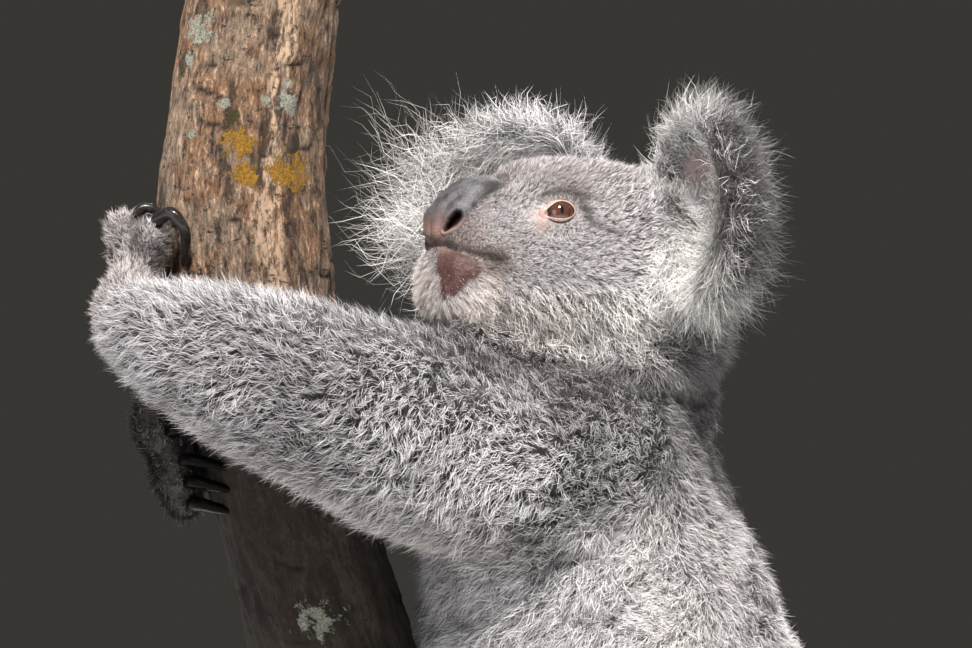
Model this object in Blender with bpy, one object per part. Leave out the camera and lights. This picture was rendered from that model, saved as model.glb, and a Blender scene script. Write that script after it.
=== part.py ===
"""A life-size koala clinging to a short length of tree stem, held by a display stand.

Metres, +Z up. The origin is the centre of the stand's underside. The koala faces -X, its left
side faces -Y. Every solid is the outside of the coat, and later solids are carved back from the
earlier ones, so that neighbours meet with a hairline gap and nothing overlaps.
"""

import math
from typing import NamedTuple

import bmesh
import bpy
from mathutils import Matrix, Vector

# ---------------------------------------------------------------- driving dimensions
GAP = 0.00035  # hairline gap between neighbouring solids

STAND_LENGTH = 0.400
STAND_WIDTH = 0.320
STAND_THICKNESS = 0.022
STAND_CORNER = 0.030
ROD_RADIUS = 0.0125
FLANGE_RADIUS = 0.034
FLANGE_THICKNESS = 0.006

PERCH_FOOT = 0.092  # height of the stem's lower cut
PERCH_TOP = 0.790  # height of the stem's upper cut
PERCH_SIDES = 18

HEAD_CENTRE = Vector((0.000, -0.012, 0.635))
HEAD_YAW = math.radians(28)  # the face is turned this much towards -Y

EYE_RADIUS = 0.0082
EYE_PLACE = (0.0370, 0.0374, 0.0127)  # forward, to either side and up from the head's centre

CLAW_SIZES = (0.0038, 0.0035, 0.0028, 0.0013)  # half thickness from root to tip
CLAW_FLATNESS = 0.8

CLAW_SIDES = 5
DIGIT_SIDES = 7
PALM_SIDES = 10
LIMB_SIDES = 12
NECK_SIDES = 14
BODY_SIDES = 18
HEAD_SIDES = 20
EAR_SIDES = 12
NOSE_SIDES = 10


class Row(NamedTuple):
    """One cross-section of a body part: its centre and its two half sizes."""

    x: float
    y: float
    z: float
    across: float
    along_up: float


class HeadRow(NamedTuple):
    """One cross-section of the head, in the head's own directions.

    forward is the distance from the head's centre towards the nose, level the height of the
    widest place, top and bottom the reach above and below it, and half_width the half width.
    """

    forward: float
    level: float
    top: float
    bottom: float
    half_width: float


# The stem leans: its centre line (x by height z) and its radius.
PERCH_LINE = (
    (-0.0235, 0.092, 0.0460),
    (-0.0560, 0.200, 0.0450),
    (-0.0920, 0.310, 0.0440),
    (-0.1290, 0.430, 0.0432),
    (-0.1570, 0.525, 0.0430),
    (-0.1710, 0.600, 0.0430),
    (-0.1750, 0.655, 0.0430),
    (-0.1725, 0.705, 0.0415),
    (-0.1660, 0.755, 0.0405),
    (-0.1595, 0.790, 0.0400),
)

CHEST_ROWS = (
    Row(0.010, 0.0, 0.572, 0.058, 0.048),
    Row(0.001, 0.0, 0.540, 0.078, 0.068),
    Row(-0.003, 0.0, 0.495, 0.088, 0.083),
    Row(0.006, 0.0, 0.448, 0.091, 0.0935),
    Row(0.021, 0.0, 0.400, 0.095, 0.0965),
    Row(0.032, 0.0, 0.368, 0.097, 0.0975),
)
BELLY_ROWS = (
    Row(0.028, 0.0, 0.378, 0.096, 0.0970),
    Row(0.041, 0.0, 0.346, 0.099, 0.0980),
    Row(0.058, 0.0, 0.300, 0.103, 0.0955),
    Row(0.070, 0.0, 0.254, 0.102, 0.0890),
    Row(0.075, 0.0, 0.219, 0.090, 0.0770),
    Row(0.077, 0.0, 0.198, 0.074, 0.0620),
)

NECK_ROWS = (
    Row(0.006, 0.000, 0.540, 0.066, 0.060),
    Row(0.013, -0.002, 0.572, 0.062, 0.057),
    Row(0.019, -0.006, 0.606, 0.058, 0.053),
)

HEAD_ROWS = (
    HeadRow(0.0915, -0.026, 0.013, 0.012, 0.015),
    HeadRow(0.0880, -0.021, 0.028, 0.019, 0.0215),
    HeadRow(0.0790, -0.015, 0.037, 0.029, 0.0275),
    HeadRow(0.0670, -0.013, 0.0405, 0.036, 0.033),
    HeadRow(0.0550, -0.012, 0.0430, 0.041, 0.040),
    HeadRow(0.0430, -0.013, 0.0530, 0.045, 0.049),
    HeadRow(0.0280, -0.015, 0.0580, 0.048, 0.058),
    HeadRow(0.0110, -0.017, 0.0600, 0.050, 0.067),
    HeadRow(-0.0060, -0.018, 0.0590, 0.051, 0.074),
    HeadRow(-0.0230, -0.018, 0.0550, 0.051, 0.077),
    HeadRow(-0.0400, -0.016, 0.0460, 0.048, 0.073),
    HeadRow(-0.0550, -0.012, 0.0330, 0.041, 0.060),
)

# The bare nose pad: (forward, up, half width, half thickness) from its top to the lip.
NOSE_ROWS = (
    (0.0490, 0.0270, 0.0105, 0.0045),
    (0.0575, 0.0270, 0.0145, 0.0065),
    (0.0670, 0.0240, 0.0170, 0.0085),
    (0.0755, 0.0175, 0.0180, 0.0095),
    (0.0812, 0.0100, 0.0175, 0.0095),
    (0.0832, 0.0015, 0.0145, 0.0085),
)

# Arms and legs: (x, y, z, half thickness sideways, half thickness in the limb's own plane).
UPPER_ARM_LEFT = (
    Row(0.028, -0.016, 0.500, 0.036, 0.044),
    Row(0.006, -0.052, 0.513, 0.045, 0.060),
    Row(-0.030, -0.068, 0.524, 0.046, 0.062),
    Row(-0.070, -0.080, 0.535, 0.043, 0.061),
    Row(-0.100, -0.086, 0.544, 0.041, 0.058),
    Row(-0.124, -0.088, 0.552, 0.039, 0.054),
)
FOREARM_LEFT = (
    Row(-0.118, -0.088, 0.550, 0.039, 0.054),
    Row(-0.150, -0.087, 0.563, 0.037, 0.051),
    Row(-0.175, -0.083, 0.572, 0.036, 0.047),
    Row(-0.199, -0.075, 0.581, 0.034, 0.041),
    Row(-0.218, -0.062, 0.589, 0.029, 0.033),
    Row(-0.230, -0.046, 0.596, 0.023, 0.026),
)
UPPER_ARM_RIGHT = (
    Row(0.028, 0.016, 0.500, 0.036, 0.044),
    Row(0.006, 0.052, 0.512, 0.045, 0.056),
    Row(-0.030, 0.066, 0.518, 0.044, 0.051),
    Row(-0.075, 0.080, 0.527, 0.040, 0.044),
    Row(-0.112, 0.084, 0.532, 0.036, 0.039),
)
FOREARM_RIGHT = (
    Row(-0.106, 0.084, 0.531, 0.036, 0.039),
    Row(-0.138, 0.084, 0.533, 0.034, 0.037),
    Row(-0.165, 0.078, 0.533, 0.032, 0.034),
    Row(-0.188, 0.067, 0.531, 0.028, 0.030),
    Row(-0.205, 0.052, 0.529, 0.023, 0.026),
)
THIGH = (
    Row(0.088, -0.046, 0.236, 0.050, 0.054),
    Row(0.060, -0.071, 0.252, 0.055, 0.061),
    Row(0.028, -0.093, 0.276, 0.046, 0.053),
    Row(0.000, -0.103, 0.296, 0.039, 0.044),
)
SHANK = (
    Row(0.004, -0.102, 0.297, 0.037, 0.040),
    Row(-0.012, -0.101, 0.268, 0.034, 0.038),
    Row(-0.018, -0.093, 0.236, 0.029, 0.033),
    Row(-0.020, -0.083, 0.210, 0.025, 0.028),
)
FAR_LEG_DROP = 0.016  # the right leg grips a little lower on the stem


# ---------------------------------------------------------------- small geometry helpers
def directions(centres):
    """The unit direction of a path at each of its points."""
    last = len(centres) - 1
    return [(centres[min(i + 1, last)] - centres[max(i - 1, 0)]).normalized() for i in range(last + 1)]


def rounded_ends(rings, start_pole, end_pole):
    """Faces and points of a closed skin over the rings, with a point at each end."""
    count = len(rings[0])
    points = [start_pole] + [p for ring in rings for p in ring] + [end_pole]
    last = len(points) - 1
    faces = []
    for k in range(count):
        follow = (k + 1) % count
        faces.append((0, 1 + follow, 1 + k))
        base = 1 + (len(rings) - 1) * count
        faces.append((last, base + k, base + follow))
        for ring in range(len(rings) - 1):
            low, high = 1 + ring * count, 1 + (ring + 1) * count
            faces.append((low + k, low + follow, high + follow, high + k))
    return points, faces


def finish_mesh(name, points, faces, material):
    """A named object with that mesh, its faces turned outwards."""
    mesh = bpy.data.meshes.new(name)
    mesh.from_pydata([tuple(p) for p in points], [], faces)
    work = bmesh.new()
    work.from_mesh(mesh)
    bmesh.ops.recalc_face_normals(work, faces=work.faces)
    work.to_mesh(mesh)
    work.free()
    mesh.materials.append(material)
    mesh.shade_smooth()
    obj = bpy.data.objects.new(name, mesh)
    bpy.context.scene.collection.objects.link(obj)
    return obj


def body_tube(name, rows, material, sides, sideways=(0, -1, 0), cap=0.6, rings=2):
    """A closed solid along a path of rows, elliptical across, with domed ends.

    sideways is the direction of each section's `across` size, as near as the path allows. cap is
    the height of the end domes as a share of the last section's smaller half size, and rings is
    how many sections round each of them off.
    """
    centres = [Vector(row[:3]) for row in rows]
    ways = directions(centres)
    sections = []
    for centre, way, row in zip(centres, ways, rows):
        side = (Vector(sideways) - way * way.dot(Vector(sideways))).normalized()
        sections.append((centre, side, way.cross(side), row[3], row[4]))
    start, end = sections[0], sections[-1]
    first = dome(start, -ways[0], cap, rings)
    final = dome(end, ways[-1], cap, rings)
    ordered = list(reversed(first)) + sections + final
    ovals = [oval(*section, sides) for section in ordered]
    start_pole = start[0] - ways[0] * cap * min(start[3], start[4])
    end_pole = end[0] + ways[-1] * cap * min(end[3], end[4])
    points, faces = rounded_ends(ovals, start_pole, end_pole)
    return finish_mesh(name, points, faces, material)


def dome(section, way, cap, rings):
    """Smaller sections that round off the end of a tube."""
    centre, side, up, half_side, half_up = section
    height = cap * min(half_side, half_up)
    steps = [math.radians(90) * (k + 1) / (rings + 1) for k in range(rings)]
    return [
        (centre + way * height * math.sin(a), side, up, half_side * math.cos(a), half_up * math.cos(a))
        for a in steps
    ]


def oval(centre, side, up, half_side, half_up, sides):
    """The points of one elliptical section."""
    angles = [2 * math.pi * k / sides for k in range(sides)]
    return [centre + side * half_side * math.cos(a) + up * half_up * math.sin(a) for a in angles]


def head_place(forward, left, up):
    """A point given in the head's own directions, in the part's frame."""
    ahead = Vector((-math.cos(HEAD_YAW), -math.sin(HEAD_YAW), 0))
    aside = Vector((math.sin(HEAD_YAW), -math.cos(HEAD_YAW), 0))
    return HEAD_CENTRE + ahead * forward + aside * left + Vector((0, 0, up))


def stem_at(height):
    """The stem's centre and radius at a height."""
    for (x0, z0, r0), (x1, z1, r1) in zip(PERCH_LINE, PERCH_LINE[1:]):
        if height <= z1:
            t = (height - z0) / (z1 - z0)
            return Vector((x0 + (x1 - x0) * t, 0, height)), r0 + (r1 - r0) * t
    x, _, radius = PERCH_LINE[-1]
    return Vector((x, 0, height)), radius


def on_stem(height, bearing, lift):
    """A point `lift` off the bark; bearing 180 is the side away from the koala, 270 is -Y."""
    centre, radius = stem_at(height)
    turn = math.radians(bearing)
    return centre + Vector((math.cos(turn), math.sin(turn), 0)) * (radius + lift)


def mirrored(rows, drop=0.0):
    """The same limb on the other side of the body, lowered by drop."""
    return tuple(Row(row.x, -row.y, row.z - drop, row.across, row.along_up) for row in rows)


# ---------------------------------------------------------------- solid operations
def apply_boolean(obj, other, operation):
    """Applies one Boolean to obj."""
    modifier = obj.modifiers.new("carve", "BOOLEAN")
    modifier.operation = operation
    modifier.solver = "EXACT"
    modifier.object = other
    bpy.context.view_layer.objects.active = obj
    bpy.ops.object.modifier_apply(modifier=modifier.name)


def swollen_copy(obj):
    """A copy of obj that is larger by the gap all round."""
    copy = obj.copy()
    copy.data = obj.data.copy()
    bpy.context.scene.collection.objects.link(copy)
    copy.data.update()
    for vertex, normal in [(v, v.normal.copy()) for v in copy.data.vertices]:
        vertex.co += normal * GAP
    return copy


def boxes_meet(a, b):
    """Whether the two objects' boxes touch."""
    low_a, high_a = corners(a)
    low_b, high_b = corners(b)
    return all(low_a[k] <= high_b[k] + GAP and low_b[k] <= high_a[k] + GAP for k in range(3))


def corners(obj):
    """The lowest and highest corner of an object whose place is in its mesh."""
    places = [v.co for v in obj.data.vertices]
    return [min(p[k] for p in places) for k in range(3)], [max(p[k] for p in places) for k in range(3)]


def tidy_cut(obj):
    """Clears the needle-thin faces and loose crumbs that carving left, and keeps the main body."""
    work = bmesh.new()
    work.from_mesh(obj.data)
    bmesh.ops.remove_doubles(work, verts=work.verts, dist=0.00004)
    bmesh.ops.dissolve_degenerate(work, edges=work.edges, dist=0.00004)
    midway = [v for v in work.verts if len(v.link_edges) == 2]
    bmesh.ops.dissolve_verts(work, verts=midway)
    bmesh.ops.triangulate(work, faces=work.faces)
    left = set(work.faces)
    bodies = []
    while left:
        seed = left.pop()
        body, border = {seed}, [seed]
        while border:
            for edge in border.pop().edges:
                for face in edge.link_faces:
                    if face in left and len(edge.link_faces) == 2:
                        left.discard(face)
                        body.add(face)
                        border.append(face)
        bodies.append(body)
    main = max(bodies, key=lambda body: sum(face.calc_area() for face in body))
    bmesh.ops.delete(work, geom=[f for f in work.faces if f not in main], context="FACES")
    work.to_mesh(obj.data)
    work.free()


def carve(obj, earlier):
    """Cuts obj back from every earlier solid that it reaches."""
    for other in earlier:
        if boxes_meet(obj, other):
            cutter = swollen_copy(other)
            apply_boolean(obj, cutter, "DIFFERENCE")
            bpy.data.objects.remove(cutter)
    tidy_cut(obj)


def unite(name, parts):
    """Several overlapping closed solids made one."""
    whole = parts[0]
    whole.name = name
    for part in parts[1:]:
        apply_boolean(whole, part, "UNION")
        bpy.data.objects.remove(part)
    return whole


# ---------------------------------------------------------------- materials
def plain_material(name, colour, roughness, metallic=0.0):
    """A Principled material."""
    material = bpy.data.materials.new(name)
    material.use_nodes = True
    shader = material.node_tree.nodes["Principled BSDF"]
    shader.inputs["Base Color"].default_value = (*colour, 1)
    shader.inputs["Roughness"].default_value = roughness
    shader.inputs["Metallic"].default_value = metallic
    return material


# ---------------------------------------------------------------- the stand and the perch
def make_base(material):
    """The stand's flat base with rounded corners, a flat underside and a bevelled top edge."""
    bpy.ops.mesh.primitive_cube_add(size=1)
    base = bpy.context.object
    base.name = "stand_base"
    base.data.transform(Matrix.Diagonal((STAND_LENGTH, STAND_WIDTH, STAND_THICKNESS, 1)))
    base.data.transform(Matrix.Translation((0, 0, STAND_THICKNESS / 2)))
    work = bmesh.new()
    work.from_mesh(base.data)
    upright = [e for e in work.edges if abs(e.verts[0].co.z - e.verts[1].co.z) > STAND_THICKNESS / 2]
    bmesh.ops.bevel(work, geom=upright, offset=STAND_CORNER, segments=5, profile=0.5, affect="EDGES")
    rim = [e for e in work.edges if all(v.co.z > STAND_THICKNESS * 0.9 for v in e.verts)]
    rim = [e for e in rim if any(abs(f.normal.z) < 0.5 for f in e.link_faces)]
    bmesh.ops.bevel(work, geom=rim, offset=0.004, segments=1, profile=0.5, affect="EDGES")
    work.to_mesh(base.data)
    work.free()
    base.data.materials.append(material)
    return base


def make_disc(name, centre, radius, low, high, material, sides=24):
    """An upright round piece from height low to height high."""
    bpy.ops.mesh.primitive_cylinder_add(vertices=sides, radius=radius, depth=high - low)
    disc = bpy.context.object
    disc.name = name
    disc.data.transform(Matrix.Translation((centre.x, centre.y, (low + high) / 2)))
    disc.data.materials.append(material)
    return disc


def make_perch(material):
    """The cut length of tree stem, leaning and slightly bowed, with flat cut ends."""
    rings = []
    for x, z, radius in PERCH_LINE:
        ring = []
        for k in range(PERCH_SIDES):
            turn = 2 * math.pi * k / PERCH_SIDES
            knobbly = 1 + 0.018 * math.sin(3 * turn + 9 * z) + 0.012 * math.sin(5 * turn - 23 * z)
            ring.append(Vector((x + radius * knobbly * math.cos(turn), radius * knobbly * math.sin(turn), z)))
        rings.append(ring)
    low, high = Vector((PERCH_LINE[0][0], 0, PERCH_FOOT)), Vector((PERCH_LINE[-1][0], 0, PERCH_TOP))
    points, faces = rounded_ends(rings, low, high)
    return finish_mesh("perch", points, faces, material)


# ---------------------------------------------------------------- head
def make_head(material):
    """The head from lip to nape, wider at the cheeks than at the crown."""
    rings = []
    for forward, level, top, bottom, half_width in HEAD_ROWS:
        ring = []
        for k in range(HEAD_SIDES):
            turn = 2 * math.pi * k / HEAD_SIDES
            reach = top if math.sin(turn) > 0 else bottom
            ring.append(head_place(forward, half_width * math.cos(turn), level + reach * math.sin(turn)))
        rings.append(ring)
    front = head_place(HEAD_ROWS[0].forward + 0.003, 0, HEAD_ROWS[0].level)
    back = head_place(HEAD_ROWS[-1].forward - 0.016, 0, HEAD_ROWS[-1].level)
    nape = []
    for forward_step, share in ((0.008, 0.80), (0.014, 0.45)):
        last = HEAD_ROWS[-1]
        ring = []
        for k in range(HEAD_SIDES):
            turn = 2 * math.pi * k / HEAD_SIDES
            reach = (last.top if math.sin(turn) > 0 else last.bottom) * share
            place = (last.half_width * share * math.cos(turn), last.level + reach * math.sin(turn))
            ring.append(head_place(last.forward - forward_step, *place))
        nape.append(ring)
    points, faces = rounded_ends(rings + nape, front, back)
    return finish_mesh("head", points, faces, material)


def make_nose(material):
    """The bare pad that runs from between the eyes down to the lip."""
    rows = NOSE_ROWS
    centres = [head_place(forward, 0, up) for forward, up, _, _ in rows]
    ways = directions(centres)
    aside = Vector((math.sin(HEAD_YAW), -math.cos(HEAD_YAW), 0))
    sections = [
        (centre, aside, way.cross(aside), row[2], row[3]) for centre, way, row in zip(centres, ways, rows)
    ]
    ends = list(reversed(dome(sections[0], -ways[0], 0.8, 1))), dome(sections[-1], ways[-1], 0.8, 1)
    rings = [oval(*section, NOSE_SIDES) for section in ends[0] + sections + ends[1]]
    top = centres[0] - ways[0] * 0.8 * rows[0][3]
    bottom = centres[-1] + ways[-1] * 0.8 * rows[-1][3]
    points, faces = rounded_ends(rings, top, bottom)
    return finish_mesh("nose", points, faces, material)


def make_eye(name, side, material):
    """One eyeball, deep in the head, with its front at the level of the coat."""
    bpy.ops.mesh.primitive_uv_sphere_add(segments=10, ring_count=7, radius=EYE_RADIUS)
    eye = bpy.context.object
    eye.name = name
    forward, aside, up = EYE_PLACE
    eye.data.transform(Matrix.Translation(head_place(forward, side * aside, up)))
    eye.data.materials.append(material)
    eye.data.shade_smooth()
    return eye


def make_ear(name, base, outward, reach, half_height, half_depth, lift, material):
    """One ear with its fringe, a thick upright lobe that stands out from the side of the head.

    base is its root in the head's directions, outward the way it points (forward, left), reach
    its length that way, and lift how far its tip stands above its root.
    """
    forward, left, up = base
    way = Vector(outward).normalized()
    rings = []
    steps = (0.00, 0.10, 0.28, 0.48, 0.68, 0.84, 0.95)
    for share in steps:
        bulge = math.sin(math.pi * (0.16 + 0.78 * share)) ** 0.7
        ring = []
        for k in range(EAR_SIDES):
            turn = 2 * math.pi * k / EAR_SIDES
            depth = half_depth * bulge * math.cos(turn)
            height = half_height * bulge * math.sin(turn) + lift * share
            ahead = forward + way.x * reach * share + way.y * depth * (1 if left > 0 else -1)
            aside = left + way.y * reach * share - way.x * depth * (1 if left > 0 else -1)
            ring.append(head_place(ahead, aside, up + height))
        rings.append(ring)
    root = head_place(forward - way.x * 0.006, left - way.y * 0.006, up)
    tip = head_place(forward + way.x * reach, left + way.y * reach, up + lift)
    points, faces = rounded_ends(rings, root, tip)
    return finish_mesh(name, points, faces, material)


# ---------------------------------------------------------------- hands, feet and claws
class Digit(NamedTuple):
    """One finger or toe: the places along it, its radius, and the places along its claw."""

    path: tuple
    radius: float
    claw: tuple


def digit_rows(path, radius, thin=0.85):
    """Rows of a digit that narrows a little towards its tip."""
    last = len(path) - 1
    sizes = [radius * (1 - (1 - thin) * i / last) for i in range(last + 1)]
    return [Row(*place, size, size) for place, size in zip(path, sizes)]


def make_paw(name, palm_rows, digits, material):
    """A hand or foot: the palm with its digits grown together as one solid."""
    parts = [body_tube(name, palm_rows, material, PALM_SIDES, (0, 0, 1))]
    for number, digit in enumerate(digits, 1):
        rows = digit_rows(digit.path, digit.radius)
        parts.append(body_tube(f"{name}_digit_{number}", rows, material, DIGIT_SIDES, (0, 0, 1), rings=1))
    return unite(name, parts)


def make_claws(owner, digits, material):
    """A strong curved claw for each digit that has one."""
    claws = []
    for number, digit in enumerate(digits, 1):
        if not digit.claw:
            continue
        rows = [Row(*place, size * CLAW_FLATNESS, size) for place, size in zip(digit.claw, CLAW_SIZES)]
        name = f"{owner}_claw_{number}"
        claws.append(body_tube(name, rows, material, CLAW_SIDES, (0.2, 0.3, 1), cap=1.0, rings=1))
    return claws


def hand_left():
    """The near hand: two digits stand up beside the stem and three close round its far side."""
    palm = [
        Row(*on_stem(0.595, 214, 0.030), 0.027, 0.022),
        Row(*on_stem(0.600, 203, 0.019), 0.027, 0.017),
        Row(*on_stem(0.600, 190, 0.014), 0.026, 0.013),
        Row(*on_stem(0.597, 177, 0.012), 0.024, 0.011),
    ]
    thumb = Digit(
        (on_stem(0.608, 196, 0.017), on_stem(0.626, 192, 0.020), on_stem(0.643, 191, 0.017)),
        0.0105,
        (
            on_stem(0.645, 191, 0.014),
            on_stem(0.652, 192, 0.009),
            on_stem(0.651, 194, 0.003),
            on_stem(0.645, 195, 0.000),
        ),
    )
    index = Digit(
        (on_stem(0.608, 204, 0.015), on_stem(0.625, 208, 0.015), on_stem(0.639, 214, 0.011)),
        0.0105,
        (
            on_stem(0.6455, 220, 0.012),
            on_stem(0.6505, 231, 0.012),
            on_stem(0.6410, 238, 0.009),
            on_stem(0.6235, 226, 0.001),
        ),
    )
    digits = [thumb, index]
    for height, drop in ((0.612, -0.002), (0.597, 0.000), (0.582, 0.003)):
        path = (
            on_stem(height, 182, 0.011),
            on_stem(height - drop, 155, 0.0095),
            on_stem(height - drop, 130, 0.009),
        )
        claw = (
            on_stem(height - drop, 126, 0.008),
            on_stem(height - drop, 115, 0.009),
            on_stem(height - drop, 105, 0.006),
            on_stem(height - drop, 98, 0.000),
        )
        digits.append(Digit(path, 0.0095, claw))
    return palm, digits


def hand_right():
    """The far hand, which comes round the stem from behind, lower than the near hand."""
    palm = [
        Row(*on_stem(0.528, 128, 0.026), 0.025, 0.020),
        Row(*on_stem(0.529, 145, 0.017), 0.026, 0.016),
        Row(*on_stem(0.530, 160, 0.013), 0.025, 0.013),
        Row(*on_stem(0.530, 172, 0.012), 0.023, 0.011),
    ]
    digits = []
    for height, turn, radius in ((0.551, 190, 0.0115), (0.538, 196, 0.0110)):
        path = (
            on_stem(height - 0.010, 160, 0.014),
            on_stem(height, 176, 0.017),
            on_stem(height, turn, 0.013),
        )
        claw = (
            on_stem(height, turn + 4, 0.012),
            on_stem(height + 0.003, turn + 14, 0.011),
            on_stem(height, turn + 24, 0.006),
            on_stem(height - 0.004, turn + 30, 0.000),
        )
        digits.append(Digit(path, radius, claw))
    for height, turn in ((0.524, 200), (0.513, 197), (0.502, 192)):
        path = (
            on_stem(height + 0.006, 160, 0.012),
            on_stem(height, 180, 0.012),
            on_stem(height, turn, 0.010),
        )
        claw = (
            on_stem(height, turn + 4, 0.009),
            on_stem(height + 0.001, turn + 14, 0.009),
            on_stem(height - 0.001, turn + 24, 0.005),
            on_stem(height - 0.003, turn + 30, 0.000),
        )
        digits.append(Digit(path, 0.0100, claw))
    return palm, digits


def foot(side, drop):
    """A hind foot on the side of the stem: a clawless big toe below, clawed toes round the front."""
    level = 0.200 - drop

    def place(height, turn, lift):
        """A place on this foot's side of the stem; turn goes back towards the koala's belly."""
        bearing = 270 + turn if side < 0 else 90 - turn
        return on_stem(height, bearing, lift)

    palm = [
        Row(*place(level + 0.004, 46, 0.030), 0.024, 0.020),
        Row(*place(level - 0.004, 22, 0.018), 0.027, 0.018),
        Row(*place(level - 0.002, 0, 0.014), 0.028, 0.014),
        Row(*place(level + 0.003, -22, 0.012), 0.027, 0.012),
    ]
    big_toe = (
        place(level - 0.014, 0, 0.014),
        place(level - 0.030, -6, 0.014),
        place(level - 0.044, -14, 0.011),
    )
    toes = [Digit(big_toe, 0.0125, ())]
    for rise, turn in ((0.020, -64), (0.011, -67), (0.000, -66), (-0.012, -60)):
        height = level + rise
        path = (
            place(height, -14, 0.013),
            place(height + 0.002, -38, 0.011),
            place(height + 0.002, turn + 6, 0.0095),
        )
        claw = (
            place(height + 0.002, turn + 2, 0.009),
            place(height + 0.004, turn - 9, 0.010),
            place(height + 0.003, turn - 19, 0.006),
            place(height, turn - 26, 0.000),
        )
        toes.append(Digit(path, 0.0100, claw))
    return palm, toes


# ---------------------------------------------------------------- assembly
def clear_scene():
    """Empties the scene."""
    for obj in list(bpy.data.objects):
        bpy.data.objects.remove(obj)


def build():
    """Makes every solid in order, each carved back from those before it."""
    clear_scene()
    fur = plain_material("fur", (0.33, 0.31, 0.30), 0.95)
    pale_fur = plain_material("pale_fur", (0.55, 0.53, 0.50), 0.95)
    nose_skin = plain_material("nose_skin", (0.06, 0.06, 0.065), 0.55)
    eye_glass = plain_material("eye", (0.16, 0.06, 0.02), 0.08)
    claw_horn = plain_material("claw", (0.03, 0.028, 0.028), 0.35)
    bark = plain_material("bark", (0.22, 0.15, 0.11), 0.9)
    board = plain_material("stand_wood", (0.05, 0.035, 0.028), 0.45)
    steel = plain_material("stand_steel", (0.45, 0.45, 0.46), 0.35, 1.0)

    done = []

    def add(obj):
        """Carves one more solid and keeps it."""
        carve(obj, done)
        done.append(obj)

    foot_centre, _ = stem_at(PERCH_FOOT)
    flange_low = PERCH_FOOT - GAP - FLANGE_THICKNESS
    add(make_base(board))
    add(make_disc("stand_rod", foot_centre, ROD_RADIUS, STAND_THICKNESS + GAP, flange_low - GAP, steel))
    add(make_disc("stand_flange", foot_centre, FLANGE_RADIUS, flange_low, PERCH_FOOT - GAP, steel, 32))
    add(make_perch(bark))

    add(make_eye("eye_left", 1, eye_glass))
    add(make_eye("eye_right", -1, eye_glass))
    add(make_nose(nose_skin))
    add(make_head(fur))
    add(body_tube("chest", CHEST_ROWS, fur, BODY_SIDES, cap=0.4))
    add(body_tube("belly", BELLY_ROWS, fur, BODY_SIDES, cap=0.55))
    add(body_tube("neck", NECK_ROWS, fur, NECK_SIDES, cap=0.4))
    add(make_ear("ear_left", (-0.038, 0.052, 0.013), (0.16, 0.99), 0.070, 0.060, 0.031, 0.008, pale_fur))
    add(make_ear("ear_right", (-0.020, -0.050, 0.012), (0.55, -0.835), 0.084, 0.062, 0.048, 0.012, pale_fur))

    left_palm, left_digits = hand_left()
    right_palm, right_digits = hand_right()
    paws = [make_paw("hand_left", left_palm, left_digits, fur)]
    paws.append(make_paw("hand_right", right_palm, right_digits, fur))
    claws = make_claws("hand_left", left_digits, claw_horn)
    claws += make_claws("hand_right", right_digits, claw_horn)
    for name, side, drop in (("left", -1, 0.0), ("right", 1, FAR_LEG_DROP)):
        palm, toes = foot(side, drop)
        paws.append(make_paw(f"foot_{name}", palm, toes, fur))
        claws += make_claws(f"foot_{name}", toes, claw_horn)
    for solid in paws + claws:
        add(solid)

    add(body_tube("forearm_left", FOREARM_LEFT, fur, LIMB_SIDES))
    add(body_tube("upper_arm_left", UPPER_ARM_LEFT, fur, LIMB_SIDES))
    add(body_tube("forearm_right", FOREARM_RIGHT, fur, LIMB_SIDES))
    add(body_tube("upper_arm_right", UPPER_ARM_RIGHT, fur, LIMB_SIDES))
    for name, thigh, shank in (
        ("left", THIGH, SHANK),
        ("right", mirrored(THIGH, FAR_LEG_DROP / 2), mirrored(SHANK, FAR_LEG_DROP)),
    ):
        add(body_tube(f"shank_{name}", shank, fur, LIMB_SIDES))
        add(body_tube(f"thigh_{name}", thigh, fur, LIMB_SIDES))


build()
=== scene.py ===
"""The looks of a still, life-size koala that hugs a cut length of tree stem on a display stand.

Metres throughout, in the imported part's frame: +Z up, the koala faces -X and its left side -Y.
One skin stands for all the nodes of flesh and lies inside them by the coat's depth. The coat is
made of tufts of thin flat hairs that grow from that skin and follow its lie.
"""

from __future__ import annotations

import logging
import math
from collections.abc import Iterator
from contextlib import contextmanager
from dataclasses import dataclass, field
from enum import Enum

import bmesh
import bpy
import numpy as np
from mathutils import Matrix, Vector
from mathutils.bvhtree import BVHTree


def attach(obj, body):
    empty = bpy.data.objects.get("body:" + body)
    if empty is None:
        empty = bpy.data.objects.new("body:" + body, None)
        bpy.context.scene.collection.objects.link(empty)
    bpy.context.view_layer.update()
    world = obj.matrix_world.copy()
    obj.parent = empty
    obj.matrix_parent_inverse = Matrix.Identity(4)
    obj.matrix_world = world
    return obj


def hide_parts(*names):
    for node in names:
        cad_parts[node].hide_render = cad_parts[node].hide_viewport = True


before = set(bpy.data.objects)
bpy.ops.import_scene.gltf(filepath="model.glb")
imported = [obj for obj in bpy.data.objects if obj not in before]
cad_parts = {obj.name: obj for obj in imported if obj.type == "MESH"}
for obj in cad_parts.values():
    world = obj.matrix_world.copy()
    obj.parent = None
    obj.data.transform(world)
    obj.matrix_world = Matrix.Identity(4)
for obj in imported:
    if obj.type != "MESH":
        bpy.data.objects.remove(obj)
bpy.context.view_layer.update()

Array = np.ndarray
Colour = tuple[float, float, float, float]
Place = tuple[float, float, float]
Path = tuple[tuple[float, ...], ...]
Socket = bpy.types.NodeSocket
log = logging.getLogger("koala")

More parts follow.
